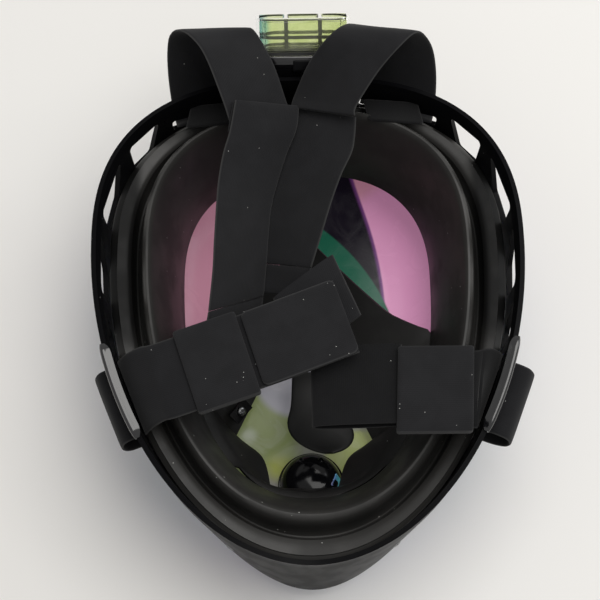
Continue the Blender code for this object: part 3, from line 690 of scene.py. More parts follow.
def build_window():
    rings = smooth_chain(WINDOW_OUTSIDE_RINGS, 4)
    inside = [grow_ring(ring, -WINDOW_THICKNESS * 0.6, WINDOW_THICKNESS) for ring in rings]
    inside[-1] = grow_ring(rings[-1], -WINDOW_THICKNESS, 0)
    loops = [ring_points(ring) for ring in rings + inside[::-1]]
    window = loft("window", loops, [WINDOW_OUTSIDE, WINDOW_INSIDE])
    bottom, top = len(rings), len(loops)
    for face in window.data.polygons:
        highest = max(face.vertices) // RING_POINTS
        lowest = min(face.vertices) // RING_POINTS
        face.material_index = 1 if lowest >= bottom and highest < top else 0
    cut_hole(window, (*VALVE_CENTRE, -6), (*VALVE_CENTRE, 14), VALVE_HOLE_RADIUS)
    return settle(window, "mask", "window", "visor")


def cut_hole(piece, start, end, radius, count=48):
    """A round hole between two points, made with a Boolean whose cutter is then removed."""
    start, end = Vector(start), Vector(end)
    direction = (end - start).normalized()
    loops = [circle(start, direction, radius, count), circle(end, direction, radius, count)]
    cutter = loft("cutter", loops, piece.data.materials[0])
    apply_cut(piece, cutter)


def apply_cut(piece, cutter):
    modifier = piece.modifiers.new("cut", "BOOLEAN")
    modifier.operation = "DIFFERENCE"
    modifier.object = cutter
    graph = bpy.context.evaluated_depsgraph_get()
    cut_mesh = bpy.data.meshes.new_from_object(piece.evaluated_get(graph))
    piece.modifiers.clear()
    piece.data = cut_mesh
    bpy.data.objects.remove(cutter)


def circle(middle, direction, radius, count=48):
    """Points round a circle whose axis is direction."""
    direction = Vector(direction).normalized()
    helper = Vector((1, 0, 0)) if abs(direction.x) < 0.9 else Vector((0, 1, 0))
    across = (helper - direction * helper.dot(direction)).normalized()
    up = direction.cross(across)
    turns = [2 * math.pi * i / count for i in range(count)]
    return [Vector(middle) + (across * math.cos(a) + up * math.sin(a)) * radius for a in turns]


SEAL_OUTWARDS, SEAL_UP, SEAL_CORNER = (-2.6, -0.4), (0.35, 2.3), 0.3


def build_window_seal():
    """The rubber cord that lies on the window's edge, under the rim."""
    (inner, outer), (low, high) = SEAL_OUTWARDS, SEAL_UP
    c = SEAL_CORNER
    corners = [(outer - c, low), (outer, low + c), (outer, high - c), (outer - c, high)]
    corners += [(inner + c, high), (inner, high - c), (inner, low + c), (inner + c, low)]
    edge = WINDOW_OUTSIDE_RINGS[-1]
    loops = [ring_points(grow_ring(edge, outwards, up)) for outwards, up in corners]
    settle(loft("window_seal", loops, SEAL_RUBBER, True), "mask", "silicone", "visor_seal")


build_window()
build_window_seal()

# %% [markdown]
# ## Rim
# The rim is a glossy wall with slanted openings at the temples and slots for the straps. A wall
# with holes is awkward to build from quads, so it is drawn flat first, as degrees round the head
# against height up the wall. A Delaunay triangulation fills the sheet round the openings, the
# sheet is wrapped onto the rings, and Solidify and Bevel give it its thickness and soft edges.

# %% Rim measurements
RIM_FOOT = (97.6, 85.6, 149.8, 32, 48, 16)
RIM_TOP = (100.5, 88.0, 147.0, 88, 92, 66)
RIM_WALL = 2.4
RIM_BEAD = 1.1
BEAD_START = 0.87
SHARE_TO_DEGREES = 30.0  # a wall height counts as this many degrees when the sheet is drawn
TEMPLE_WINDOWS = [(42, 57), (63, 82), (87, 98), (101.5, 108.5)]
STRAP_SLOTS = [(11.5, 37.0, 0.58, 0.74), (111, 128.5, 0.74, 0.87), (111, 128.5, 0.42, 0.56)]
DRAIN_HOLE = (39.6, 24.6, 0.55)  # place and radius on the flat sheet
SHEET_COLUMNS, SHEET_ROWS = 91, 16


def rounded_outline(corners, radius, steps=4):
    """A flat polygon with each corner replaced by a short curve."""
    outline = []
    for i, corner in enumerate(corners):
        corner = Vector(corner)
        before = Vector(corners[i - 1]) - corner
        after = Vector(corners[(i + 1) % len(corners)]) - corner
        start = corner + before.normalized() * min(radius, before.length * 0.45)
        end = corner + after.normalized() * min(radius, after.length * 0.45)
        for k in range(steps + 1):
            t = k / steps
            outline.append(start.lerp(corner, t).lerp(corner.lerp(end, t), t))
    return outline


def temple_window(low, high):
    """A slanted opening: its end towards the forehead leans, and its other end is upright."""
    foot = low + 0.39 * (high - low)
    corners = [(foot, 0.42), (high, 0.42), (high, 0.86), (low, 0.86)]
    return [(a, share * SHARE_TO_DEGREES) for a, share in corners]


def rim_openings():
    outlines = [rounded_outline(temple_window(low, high), 1.6) for low, high in TEMPLE_WINDOWS]
    for low, high, bottom, top in STRAP_SLOTS:
        bottom, top = bottom * SHARE_TO_DEGREES, top * SHARE_TO_DEGREES
        corners = [(low, bottom), (high, bottom), (high, top), (low, top)]
        outlines.append(rounded_outline(corners, 1.2))
    x, y, radius = DRAIN_HOLE
    outlines.append([Vector((x + radius * math.cos(a), y + radius * math.sin(a))) for a in range(6)])
    return outlines


def inside_outline(point, outline):
    """True when a flat point is inside a polygon."""
    crossings = 0
    for a, b in zip(outline, outline[1:] + outline[:1]):
        if (a.y > point.y) != (b.y > point.y):
            crossings += point.x < a.x + (point.y - a.y) / (b.y - a.y) * (b.x - a.x)
    return crossings % 2 == 1


# %% Build the rim
def flat_wall_sheet():
    """Half of the wall as a flat sheet: its points, and its triangles outside the openings."""
    openings = rim_openings()
    points, edges = [], []
    for outline in openings:
        first = len(points)
        points += outline
        count = len(outline)
        edges += [(first + i, first + (i + 1) % count) for i in range(count)]
    for i in range(SHEET_COLUMNS):
        for k in range(SHEET_ROWS):
            spot = Vector((180 * i / (SHEET_COLUMNS - 1), SHARE_TO_DEGREES * k / (SHEET_ROWS - 1)))
            clear = all((spot - p).length > 0.9 for p in points[: edges[-1][0] + 1])
            if clear and not any(inside_outline(spot, outline) for outline in openings):
                points.append(spot)
    flat, _, triangles, *_ = geometry.delaunay_2d_cdt(points, edges, [], 0, 1e-5)
    kept = []
    for face in triangles:
        middle = sum((flat[i] for i in face), Vector((0, 0))) / len(face)
        if not any(inside_outline(middle, outline) for outline in openings):
            kept.append(list(face))
    return flat, kept


def rim_wall_point(degrees, share):
    ring = blend_rings(RIM_FOOT, RIM_TOP, share)
    rolled = RIM_BEAD * max(0.0, (share - BEAD_START) / (1 - BEAD_START)) ** 1.5
    return ring_point(degrees, grow_ring(ring, rolled))


def build_rim():
    flat, triangles = flat_wall_sheet()
    points, faces = [], []
    for side in (1, -1):
        first = len(points)
        for spot in flat:
            place = rim_wall_point(spot.x, spot.y / SHARE_TO_DEGREES)
            points.append((place.x * side, place.y, place.z))
        faces += [[first + i for i in face] for face in triangles]
    rim = add_piece("rim", points, faces, RIM_GLOSS, 60)
    weld = bmesh.new()
    weld.from_mesh(rim.data)
    bmesh.ops.remove_doubles(weld, verts=weld.verts, dist=0.02 * MM)
    bmesh.ops.recalc_face_normals(weld, faces=weld.faces)
    face = max(weld.faces, key=lambda f: f.calc_center_median().x)
    if face.normal.x < 0:
        bmesh.ops.reverse_faces(weld, faces=weld.faces)
    weld.to_mesh(rim.data)
    weld.free()
    wall = rim.modifiers.new("wall thickness", "SOLIDIFY")
    wall.thickness = RIM_WALL * MM
    wall.offset = -1
    round_edges(rim, 0.5, 2, 50)
    return settle(rim, "mask", "gloss", "rim")


build_rim()

# %% [markdown]
# ## Face skirt
# The skirt is one silicone moulding: a sloping inner wall, a rolled lip that seals on the face, a
# deep groove, and a wide outer flange with a thin stepped edge. Its section is a closed chain of
# rings. The lip and groove are smooth, and the flange's edges are written twice so they stay crisp.

# %% Build the skirt
SKIRT_SECTION = [
    (61.5, 61, 107.5, 34, 36, 26),
    (61.5, 61, 107.5, 34, 36, 26),
    (63.5, 62.5, 109.5, 48, 50, 36),
    (68, 66, 115, 66, 68, 50),
    (72.5, 69.5, 120.5, 79, 81, 60.5),
    (75.5, 72, 124, 84, 86, 64),
    (78.3, 74.5, 127.5, 81, 83, 61.5),
    (79.5, 75.5, 129.3, 70, 71, 54),
    (82, 77, 131.3, 64, 65, 50.5),
    (83.9, 78.1, 133.4, 65.5, 68, 52),
    (84.6, 78.6, 134.2, 68.4, 71.6, 55.4),
    (84.6, 78.6, 134.2, 68.4, 71.6, 55.4),
    (86.5, 80, 137.4, 69.4, 73.2, 56.6),
    (91.2, 82.4, 141.8, 70, 74, 57.5),
    (91.2, 82.4, 141.8, 70, 74, 57.5),
    (91.5, 82.5, 142.0, 69.2, 73.2, 56.8),
    (91.5, 82.5, 142.0, 69.2, 73.2, 56.8),
    (94.2, 83.7, 144.2, 67.6, 71.6, 55.8),
    (95.0, 83.9, 144.6, 66, 70, 54.6),
    (94.5, 83.2, 145.3, 55, 64, 40),
    (93.9, 82.0, 146.2, 41, 57, 24.5),
    (93.9, 82.0, 146.2, 41, 57, 24.5),
    (90.3, 78.6, 142.6, 41, 57, 24.5),
    (90.3, 78.6, 142.6, 41, 57, 24.5),
    (90.4, 80.3, 140.9, 63, 67, 52),
    (84.5, 77.6, 133.4, 60, 61, 46.5),
    (77.3, 73.3, 127.2, 60, 61, 46.5),
    (76.3, 72.6, 125.3, 77, 78, 58),
    (70.6, 68, 117.4, 65, 67, 49),
    (66.0, 64.8, 111.9, 47, 49, 35),
    (64.0, 63.4, 110, 34, 36, 26),
    (64.0, 63.4, 110, 34, 36, 26),
]


def build_skirt():
    section = smooth_chain(SKIRT_SECTION, 3, closed=True)
    skirt = loft("face_skirt", [ring_points(ring) for ring in section], SKIRT_RUBBER, True, 30)
    return settle(skirt, "mask", "silicone", "face_skirt")


build_skirt()

# %% [markdown]
# ## Where a small part points
# A short wide part, like a screw or a valve seat, spreads least along its own axis. That axis is
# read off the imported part's points, so the dressed part turns the same way.

# %% Find a small part's own axes
def own_axes(node):
    """A part's middle, and its directions from the longest spread to the shortest, in mm."""
    points = np.array([v.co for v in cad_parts[node].data.vertices]) / MM
    middle = points.mean(0)
    spread, axes = np.linalg.eigh(np.cov((points - middle).T))
    order = np.argsort(spread)[::-1]
    directions = [Vector(axes[:, i]) for i in order]
    return Vector(middle), directions, points


# %% [markdown]
# ## Nose-and-mouth pocket
# A thinner silicone wall hangs inside the skirt. Its edge by the window is a star-like hole, and
# its other edge follows the skirt round the chin and rises to a point over the nose. The wall is
# made from matched steps along both edges, so the two shapes blend into each other. Near the chin
# the wall flares into a lip that closes against the skirt.

# %% Pocket measurements
POCKET_CORNERS = {
    1: [
        ((0, -10, 12), 6, 0.0),
        ((14, -12, 12), 16, 0.0),
        ((31.5, -50, 10), 12, 5.0),
        ((13, -76.0, 21.6), 8, 0.0),
        ((0, -77.5, 27.2), 0, 0.0),
    ],
    -1: [
        ((0, -10, 12), 6, 0.0),
        ((20, -12, 12), 16, 0.0),
        ((37.5, -46.5, 10), 12, 5.5),
        ((20, -75.5, 21.6), 8, 0.0),
        ((0, -77.5, 27.2), 0, 0.0),
    ],
}
POCKET_STEPS = 42
POCKET_EDGE = (58.6, 58, 104.4, 36.5, 36.5, 30.8)
POCKET_LIP = 7.0  # how far the wall flares out at its edge, to close against the skirt
POCKET_SIDE_DEGREES = 103.0
POCKET_SIDE_SHARE = 10 / 24
NOSE_PEAK = Vector((0, 43, 54))
POCKET_WALL = 1.8
LIP_START = 0.86
LIP_STEPS = (0.3, 0.45)  # the lip grows in between these shares of the way to the chin
CHEEK_HOLE_RADIUS = 8.95


def pocket_foot(step, side):
    """A point of the star-like edge, from the nose round one side to the chin."""
    corners = POCKET_CORNERS[side]
    for (a, steps, drawn), (b, _, _) in zip(corners, corners[1:]):
        if step <= steps:
            t = step / steps
            point = Vector(a).lerp(Vector(b), t)
            inwards = Vector((-point.x, -42 - point.y, 0)).normalized()
            return point + inwards * drawn * 4 * t * (1 - t)
        step -= steps


def pocket_edge(share):
    """A point of the edge towards the face, at this share of the way to the chin."""
    side = ring_point(POCKET_SIDE_DEGREES, POCKET_EDGE)
    if share >= POCKET_SIDE_SHARE:
        rest = (share - POCKET_SIDE_SHARE) / (1 - POCKET_SIDE_SHARE)
        return ring_point(POCKET_SIDE_DEGREES + (180 - POCKET_SIDE_DEGREES) * rest, POCKET_EDGE)
    across = (share / POCKET_SIDE_SHARE) ** 1.1
    rise = (1 - across) ** 1.2
    y = side.y + (NOSE_PEAK.y - side.y) * rise
    return Vector((side.x * across, y, side.z + (NOSE_PEAK.z - side.z) * rise))


def pocket_wall(step, share, side):
    """A point of the wall and the way out of the pocket there."""
    foot, edge = pocket_foot(step, side), pocket_edge(step / POCKET_STEPS)
    up = (edge - foot).normalized()
    flat = Vector((up.x, up.y, 0)).normalized()
    out = flat * up.z - Vector((0, 0, 1)) * up.dot(flat)
    mirror = Matrix.Diagonal((side, 1, 1))
    return mirror @ foot.lerp(edge, share), mirror @ out


def build_pocket():
    loops = []
    shares = [0, 0.02, 0.12, 0.3, 0.5, 0.7, 0.88, 0.98, 1]
    for outwards, way in ((0, shares), (POCKET_WALL, shares[::-1])):
        for share in way:
            swell = 1.6 * math.sin(math.pi * share)
            steps = [(k, 1) for k in range(POCKET_STEPS + 1)]
            steps += [(k, -1) for k in range(POCKET_STEPS - 1, 0, -1)]
            loop = []
            for k, side in steps:
                point, out = pocket_wall(k, share, side)
                grown = share_between(k / POCKET_STEPS, *LIP_STEPS)
                flare = POCKET_LIP * max(0.0, (share - LIP_START) / (1 - LIP_START)) * grown
                flat = Vector((out.x, out.y, 0)).normalized()
                loop.append(point + out * (outwards + swell) + flat * flare)
            loops.append(loop)
    pocket = loft("nose_pocket", loops, POCKET_RUBBER, True, 55)
    for word in ("left", "right"):
        middle, directions, _ = own_axes("cheek_valve_seat_" + word)
        out = directions[2]
        cut_hole(pocket, middle - out * 9, middle + out * 9, CHEEK_HOLE_RADIUS, 32)
    return settle(pocket, "mask", "silicone", "nose_pocket")


build_pocket()

# %% [markdown]
# ## Nose shelf
# A rounded tongue of the same silicone stands in the pocket under the nose and leans to one side.
# It is a loft of rounded sections whose width swells and then closes in a blunt tip.

# %% Build the shelf
SHELF_SECTIONS = [
    (0.0, -14.5, 14.5, 8.5),
    (0.6, -22, 16.5, 9.4),
    (2.0, -33, 18, 11.5),
    (4.0, -42, 19.6, 15.4),
    (6.0, -49, 21.2, 15.6),
    (7.6, -54.5, 23, 12.4),
    (8.6, -58, 24.6, 7.6),
    (9.0, -59.6, 25.4, 3.0),
]
SHELF_THICKNESS = 2.6


def build_shelf():
    loops = []
    for x, y, z, half in smooth_chain(SHELF_SECTIONS, 3):
        loop = []
        for k in range(24):
            turn = 2 * math.pi * k / 24
            c, s = math.cos(turn), math.sin(turn)
            across = math.copysign(abs(c) ** 0.6, c) * half
            loop.append(Vector((x + across, y, z + s * SHELF_THICKNESS / 2)))
        loops.append(loop)
    return settle(loft("nose_shelf", loops, SHELF_RUBBER), "mask", "silicone", "nose_shelf")


build_shelf()

# %% [markdown]
# ## Chin valve dome
# A glossy turned cap covers the purge valve. A profile turned round an axis gives its shape: a
# rolled foot, a step, and a domed top with two moulded bosses near the brow side. A small facet on
# its flank carries a painted blue-green reflection, and glows a little as painted light.

# %% Turned shapes, and the dome
DOME_FOOT_Z = 9.6


def turned(name, middle, direction, profile, material, count=48, sharp_degrees=32):
    """A solid of revolution with flat ends: profile holds (distance along, radius)."""
    direction = Vector(direction).normalized()
    loops = [circle(Vector(middle) + direction * d, direction, r, count) for d, r in profile]
    return loft(name, loops, material, False, sharp_degrees)


def ring_turned(name, middle, direction, profile, material, count=48):
    """A solid of revolution with a hole: profile is a closed chain of (along, radius)."""
    direction = Vector(direction).normalized()
    loops = [circle(Vector(middle) + direction * d, direction, r, count) for d, r in profile]
    return loft(name, loops, material, True, 32)


def build_dome():
    middle = (*VALVE_CENTRE, DOME_FOOT_Z)
    outside = [(0, 15.9), (0, 16.5), (1.4, 16.5), (1.9, 16.0), (1.9, 15.4), (5.2, 15.1)]
    outside += [(8.4, 13.8), (11.0, 11.6), (13.0, 8.4), (14.2, 4.6), (14.6, 1.2), (14.6, 0.0001)]
    inside = [(12.9, 0.0001), (12.6, 4.0), (11.2, 8.6), (8.4, 12.2), (4.6, 14.0), (0, 14.3)]
    dome = ring_turned("purge_dome", middle, (0, 0, 1), outside + inside, DOME_GLOSS, 64)
    settle(dome, "mask", "gloss", "purge_dome")
    for number, (x, y) in enumerate(((-4.8, 9.6), (4.8, 9.6))):
        place = Vector((VALVE_CENTRE[0] + x, VALVE_CENTRE[1] + y, DOME_FOOT_Z + 10.2))
        profile = [(0, 1.5), (1.6, 1.5), (2.0, 1.2), (2.1, 0.6), (1.5, 0.5), (1.5, 0.01)]
        boss = turned(f"dome_boss_{number}", place, (x * 0.02, 0.35, 1), profile, DOME_GLOSS, 20)
        settle(boss, "mask", "gloss")


build_dome()


# %% The dome's facet, painted with a reflection
def make_facet_reflection():
    """A flat painted with a reflection in bands of blue, teal and violet across its width, which
    glows a little.
    """
    material, tree, shader = start_material(
        "facet painted reflection", Metallic=0.6, Coat_Weight=1.0, Emission_Strength=0.25
    )
    place = object_place(tree)
    parts = add_node(tree, "ShaderNodeSeparateXYZ", Vector=place)
    share = span(tree, parts.outputs["X"], 0.0086, 0.0142)
    ramp = tree.nodes.new("ShaderNodeValToRGB")
    ramp.color_ramp.elements[0].color = (0.16, 0.13, 0.26, 1)
    ramp.color_ramp.elements[1].color = (0.08, 0.38, 0.42, 1)
    ramp.color_ramp.elements.new(0.5).color = (0.10, 0.22, 0.46, 1)
    tree.links.new(share, ramp.inputs["Fac"])
    feed(tree, shader.inputs["Base Color"], ramp.outputs["Color"])
    feed(tree, shader.inputs["Emission Color"], ramp.outputs["Color"])
    mottle = use_group(tree, MOTTLE, Place=place, Patch_mm=2.0, Grain_mm=0.6)
    feed(tree, shader.inputs["Roughness"], span(tree, mottle.outputs["Tone"], 0, 1, 0.1, 0.3))
    return material


FACET_OUT = (0.62, 0.05, 0.78)
FACET_CORNERS = [(9.2, -74.6, 21.6), (12.6, -76.6, 18.2), (14.6, -71.2, 16.8), (12.0, -68.4, 20.2)]


def build_reflection_facet():
    out = Vector(FACET_OUT).normalized()
    loops = [[Vector(corner) + out * rise for corner in FACET_CORNERS] for rise in (-2.4, 0.5)]
    facet = loft("dome_reflection_facet", loops, make_facet_reflection())
    round_edges(facet, 0.3)
    return settle(facet, "mask", "gloss")


build_reflection_facet()

# %% [markdown]
# ## Snorkel socket
# The clear socket is a round-ended tube that leans back from the brow. Two dark ribs divide it into
# three air channels. Its end faces have holes in them, so each is filled by tessellating the outline
# together with the outlines of its holes.

# %% Socket measurements and the tube with channels
SOCKET_LEAN = math.radians(38)
SOCKET_MOUTH = Vector((0, 142.3, 97.8))
SOCKET_SIZE = (46.0, 19.0)
SOCKET_LENGTH = 15.9
ACROSS = Vector((1, 0, 0))
ALONG = Vector((0, math.cos(SOCKET_LEAN), math.sin(SOCKET_LEAN)))
UP = Vector((0, -math.sin(SOCKET_LEAN), math.cos(SOCKET_LEAN)))


def stadium(middle, size, up=UP, count=14):
    """A round-ended loop of points, size wide and high."""
    half, radius = (size[0] - size[1]) / 2, size[1] / 2
    loop = []
    for side, start in ((1, -90), (-1, 90)):
        for k in range(count + 1):
            turn = math.radians(start + 180 * k / count)
            flat = ACROSS * (side * half + radius * math.cos(turn))
            loop.append(middle + flat + up * radius * math.sin(turn))
    return loop


def rounded_window(middle, x_middle, size, radius=2.4):
    """A rectangular loop of points with round corners, x_middle across from the middle."""
    w, h = size[0] / 2 - radius, size[1] / 2 - radius
    loop = []
    for sx, sy, first in ((1, -1, -90), (1, 1, 0), (-1, 1, 90), (-1, -1, 180)):
        for k in range(5):
            turn = math.radians(first + 22.5 * k)
            x = x_middle + sx * w + radius * math.cos(turn)
            y = sy * h + radius * math.sin(turn)
            loop.append(middle + ACROSS * x + UP * y)
    return loop


def channelled(name, outer_loops, channel_loops, material, blind=False):
    """A solid between outer loops with channels in it, open at both ends or blind at the first."""
    points = [p for loop in outer_loops for p in loop]
    faces = loop_faces(len(outer_loops), len(outer_loops[0]), False)
    around = len(outer_loops[0])
    first_end, last_end = [list(range(around))], [list(range(len(points) - around, len(points)))]
    for start, end in channel_loops:
        first, count = len(points), len(start)
        points += start + end
        faces += [tuple(first + i for i in quad) for quad in loop_faces(2, count, False)]
        last_end.append(list(range(first + count, first + 2 * count)))
        if blind:
            faces.append(tuple(range(first, first + count)))
        else:
            first_end.append(list(range(first, first + count)))
    for outlines in (first_end, last_end):
        order = [i for outline in outlines for i in outline]
        drawn = [[points[i] for i in outline] for outline in outlines]
        faces += [tuple(order[i] for i in face) for face in geometry.tessellate_polygon(drawn)]
    return add_piece(name, points, faces, material, 40)


# %% Clear plastic, and the socket
def make_clear_plastic():
    material, tree, shader = start_material(
        "socket clear green", Transmission_Weight=0.93, IOR=1.46, Specular_IOR_Level=0.6
    )
    place = object_place(tree)
    mottle = use_group(tree, MOTTLE, Place=place, Patch_mm=7.0, Grain_mm=0.9)
    tone = mix_colours(tree, mottle.outputs["Tone"], (0.78, 0.86, 0.5, 1), (0.9, 0.95, 0.66, 1))
    parts = add_node(tree, "ShaderNodeSeparateXYZ", Vector=place)
    cool = span(tree, parts.outputs["X"], -0.016, -0.023)
    tone = mix_colours(tree, cool, tone, (0.32, 0.66, 0.72, 1))
    feed(tree, shader.inputs["Base Color"], tone)
    feed(tree, shader.inputs["Roughness"], span(tree, mottle.outputs["Tone"], 0, 1, 0.06, 0.16))
    add_bump(tree, shader, mottle.outputs["Grain"], 0.03, 0.3)
    return material


BAND_DEPTH = 1.4
SOCKET_BANDS = ((15.2, 0.45, 0.0), (6.6, 0.8, 1.2), (0.9, 0.6, 1.2))
CHANNELS = ((-15.2, (12.4, 15.0)), (0, (15.4, 16.0)), (15.2, (12.4, 15.0)))


def build_socket():
    clear = make_clear_plastic()
    mouth, foot = SOCKET_MOUTH, SOCKET_MOUTH - ALONG * SOCKET_LENGTH
    outer = [stadium(foot + ALONG * d, (SOCKET_SIZE[0] + g, SOCKET_SIZE[1] + g)) for d, g in
             ((0, -0.6), (0.3, 0), (14.1, 0), (14.3, 0.7), (15.6, 0.7), (15.9, 0.2))]
    channels = [[rounded_window(end, x, size) for end in (foot, mouth)] for x, size in CHANNELS]
    tube = channelled("snorkel_socket", outer, channels, clear)
    settle(tube, "mask", "socket", "snorkel_socket")
    wide, high = SOCKET_SIZE
    for number, (d, half, inset) in enumerate(SOCKET_BANDS):
        inner = -inset - BAND_DEPTH
        corners = ((-half, -inset), (half, -inset), (half, inner), (-half, inner))
        loops = [stadium(foot + ALONG * (d + a), (wide + b, high + b)) for a, b in corners]
        settle(loft(f"socket_band_{number}", loops, PART_GLOSS, True), "mask", "gloss")
    for word, x in (("left", -8.3), ("right", 8.3)):
        loops = [rounded_window(foot + ALONG * d, x, (1.9, 15.2), 0.4) for d in (0.4, 15.8)]
        settle(loft("socket_rib_" + word, loops, PART_GLOSS), "mask", "gloss")


build_socket()

# %% [markdown]
# ## Neck of the socket
# The black neck stands between the rim and the clear tube. It is a loft of round-ended sections
# with moulded bands round its upper end, blind air channels in its top and a latch on its face.

# %% Build the neck, the seal and the latch
# Distance back from the neck's top, and the neck's height there: two moulded bands.
NECK_BANDS = [(3.6, 24.6), (3.5, 23.6), (2.5, 23.6), (2.4, 24.4)]
NECK_BANDS += [(1.4, 24.4), (1.3, 23.4), (0.5, 23.4), (0, 22.8)]


def build_neck():
    seal_foot = SOCKET_MOUTH - ALONG * (SOCKET_LENGTH + 0.35 + 1.6)
    top = seal_foot - ALONG * 0.35
    loops = []
    foot, middle = Vector((0, 114.3, 70.0)), Vector((0, 121.5, 77.5))
    straight_up = Vector((0, 0, 1))
    between = (UP + straight_up).normalized()
    loops.append(stadium(foot, (56, 26), straight_up))
    loops.append(stadium(middle, (55, 25.5), between))
    for back, size in NECK_BANDS:
        loops.append(stadium(top - ALONG * back, (size + 28, size)))
    channels = []
    for x in (-15.6, 0, 15.6):
        start = rounded_window(top - ALONG * 12, x, (12.4, 13.4))
        channels.append((start, rounded_window(top, x, (12.4, 13.4))))
    neck = channelled("socket_neck", loops, channels, PART_GLOSS, blind=True)
    settle(neck, "mask", "gloss", "socket_base")
    latch_low, latch_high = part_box("release_button")
    face = (latch_low + latch_high) / 2 / MM
    loops = []
    for up, shrink in ((-1.2, 0), (0.9, 0), (1.25, 0.3), (1.35, 0.8)):
        size = (10.4 - 2 * shrink, 5.2 - 2 * shrink)
        loops.append(flat_corners(face + UP * up, ACROSS, ALONG, size, 0.8))
    settle(loft("release_button", loops, RIM_GLOSS), "release_button", "gloss", "release_button")


def flat_corners(middle, across, along, size, radius, steps=4):
    """A rounded rectangle in the plane of two directions."""
    loop = []
    w, h = size[0] / 2 - radius, size[1] / 2 - radius
    for sx, sy, first in ((1, -1, -90), (1, 1, 0), (-1, 1, 90), (-1, -1, 180)):
        for k in range(steps + 1):
            turn = math.radians(first + 90 * k / steps)
            x, y = sx * w + radius * math.cos(turn), sy * h + radius * math.sin(turn)
            loop.append(middle + across * x + along * y)
    return loop


build_neck()

# %% [markdown]
# ## Harness
# The straps are flat elastic that keeps its width while it bends and twists. Each one is a list of
# stations: the middle of the strap, and half its width as a vector. A ribbon is built through them
# at even steps, and every point remembers where it is in the cloth, so the woven finish follows
# the strap and not the room.

# %% Stations of every strap
STRAP_WIDTH = 37.0
STRAP_THICKNESS = 1.6
UPPER_STRAP_LEFT = [
    ((-45.0, 100.0, 75.5), (15.6, 5.2, 0)),
    ((-46.8, 107.0, 70.5), (15.6, 6.2, 0)),
    ((-48.2, 114.5, 74.5), (16, 5.5, 0)),
    ((-48.8, 122.5, 83), (16.8, 4, 0)),
    ((-48.2, 128.5, 94), (17.5, 2.5, 0)),
    ((-46, 131, 103), (17.6, 2.2, -2.5)),
    ((-41, 128.6, 108.8), (16.6, 3.8, -6.5)),
    ((-35, 121, 109.4), (15.4, 4.9, -9)),
    ((-29.6, 110, 107.2), (15.2, 4.9, -9.4)),
    ((-23.9, 93.9, 102.5), (15.2, 4.3, -9.6)),
    ((-20.4, 84.0, 97.8), (15.2, 4.3, -9.4)),
]
UPPER_STRAP_RIGHT = [
    ((45.0, 100.0, 75.5), (15.6, -5.2, 0)),
    ((46.8, 107.0, 70.5), (15.6, -6.2, 0)),
    ((47.8, 114.0, 74.5), (16, -5.5, 0)),
    ((47.6, 121.5, 83), (16.8, -4.5, 0)),
    ((45.6, 127, 94), (17.5, -4, 0)),
    ((42, 128.8, 104), (17.5, -5, 2)),
    ((36, 125, 113.5), (17.6, -3.6, 3)),
    ((28, 117, 115), (17.6, -4.2, 4)),
    ((18.6, 107.6, 108.4), (16.4, -5.8, 6.2)),
    ((9.9, 95, 99), (14.9, -7.1, 8.4)),
    ((8.5, 89.5, 98.4), (15.1, -6.8, 8.2)),
]
CROWN_TOP_LAYER = [
    ((-17.9, 92.7, 101.9), (15.1, 3.4, -10.1)),
    ((-20, 78.5, 101.6), (15.8, 4.2, -9)),
    ((-24.2, 66.4, 98.8), (14.9, 4.5, -9.9)),
    ((-29.2, 45.8, 94.1), (12.9, 5.1, -11.9)),
    ((-31, 27.7, 91.6), (12.1, 6.1, -11.9)),
    ((-32, 13, 89.1), (12.3, 6.6, -11.9)),
    ((-34, -3.0, 85.4), (12.5, 7.9, -11.1)),
]
CROWN_UNDER_LAYER = [
    ((9.1, 91.6, 93.2), (15.2, -6.9, 8.0)),
    ((6.8, 80.3, 92.6), (16.5, -5.2, 6.4)),
    ((5, 71.2, 91.4), (16.8, -3.6, 6.8)),
    ((-0.1, 59.2, 88.4), (16.4, -3.1, 8.1)),
    ((-5, 45.6, 85.4), (15.8, -4.2, 8.8)),
    ((-10.5, 27.7, 81.6), (15.1, -5.6, 9)),
    ((-13.3, 18.5, 79.4), (14.9, -5.6, 9.4)),
]
LOWER_STRAP_LEFT = [
    ((-82.6, -46.4, 79.4), (6.6, -17.0, -2.6)),
    ((-78.5, -44.8, 85.5), (6.4, -17.2, -1.8)),
    ((-72, -43.4, 91.6), (6, -17.4, -0.6)),
    ((-64.5, -42.6, 94.6), (5.6, -17.6, 0)),
    ((-23.5, -30.2, 99.0), (5.4, -17.8, 0)),
    ((-4, -23.5, 100.4), (5.6, -17.6, 0)),
    ((16.5, -16.0, 101.0), (5.6, -17.4, 0)),
]
LOWER_STRAP_RIGHT = [
    ((82.6, -46.4, 79.4), (-6.6, -17.0, -2.6)),
    ((78.9, -46.0, 85.8), (-6.0, -17.2, -1.8)),
    ((76.4, -47.8, 91.0), (-3.6, -18.0, -0.6)),
    ((73.4, -49.6, 93.2), (-1.2, -18.5, 0)),
    ((37, -49.6, 94.4), (-1.0, -18.5, 0)),
    ((18, -47, 92.6), (0, -18.4, 0)),
    ((-1, -44, 89.6), (0, -18.2, 0)),
]
KEEPER_RUN = 3


# %% Follow a strap and build a ribbon
def station_at(stations, place, straight=None):
    """Centre and half width at a place counted in stations; one run may be straight."""
    last = len(stations) - 1
    i = min(int(place), last - 1)
    t = place - i
    picks = [stations[min(max(k, 0), last)] for k in range(i - 1, i + 3)]
    columns = [[Vector(pick[j]) for pick in picks] for j in (0, 1)]
    if i == straight:
        return tuple(column[1].lerp(column[2], t) for column in columns)
    return tuple(curve_value(column, t) for column in columns)


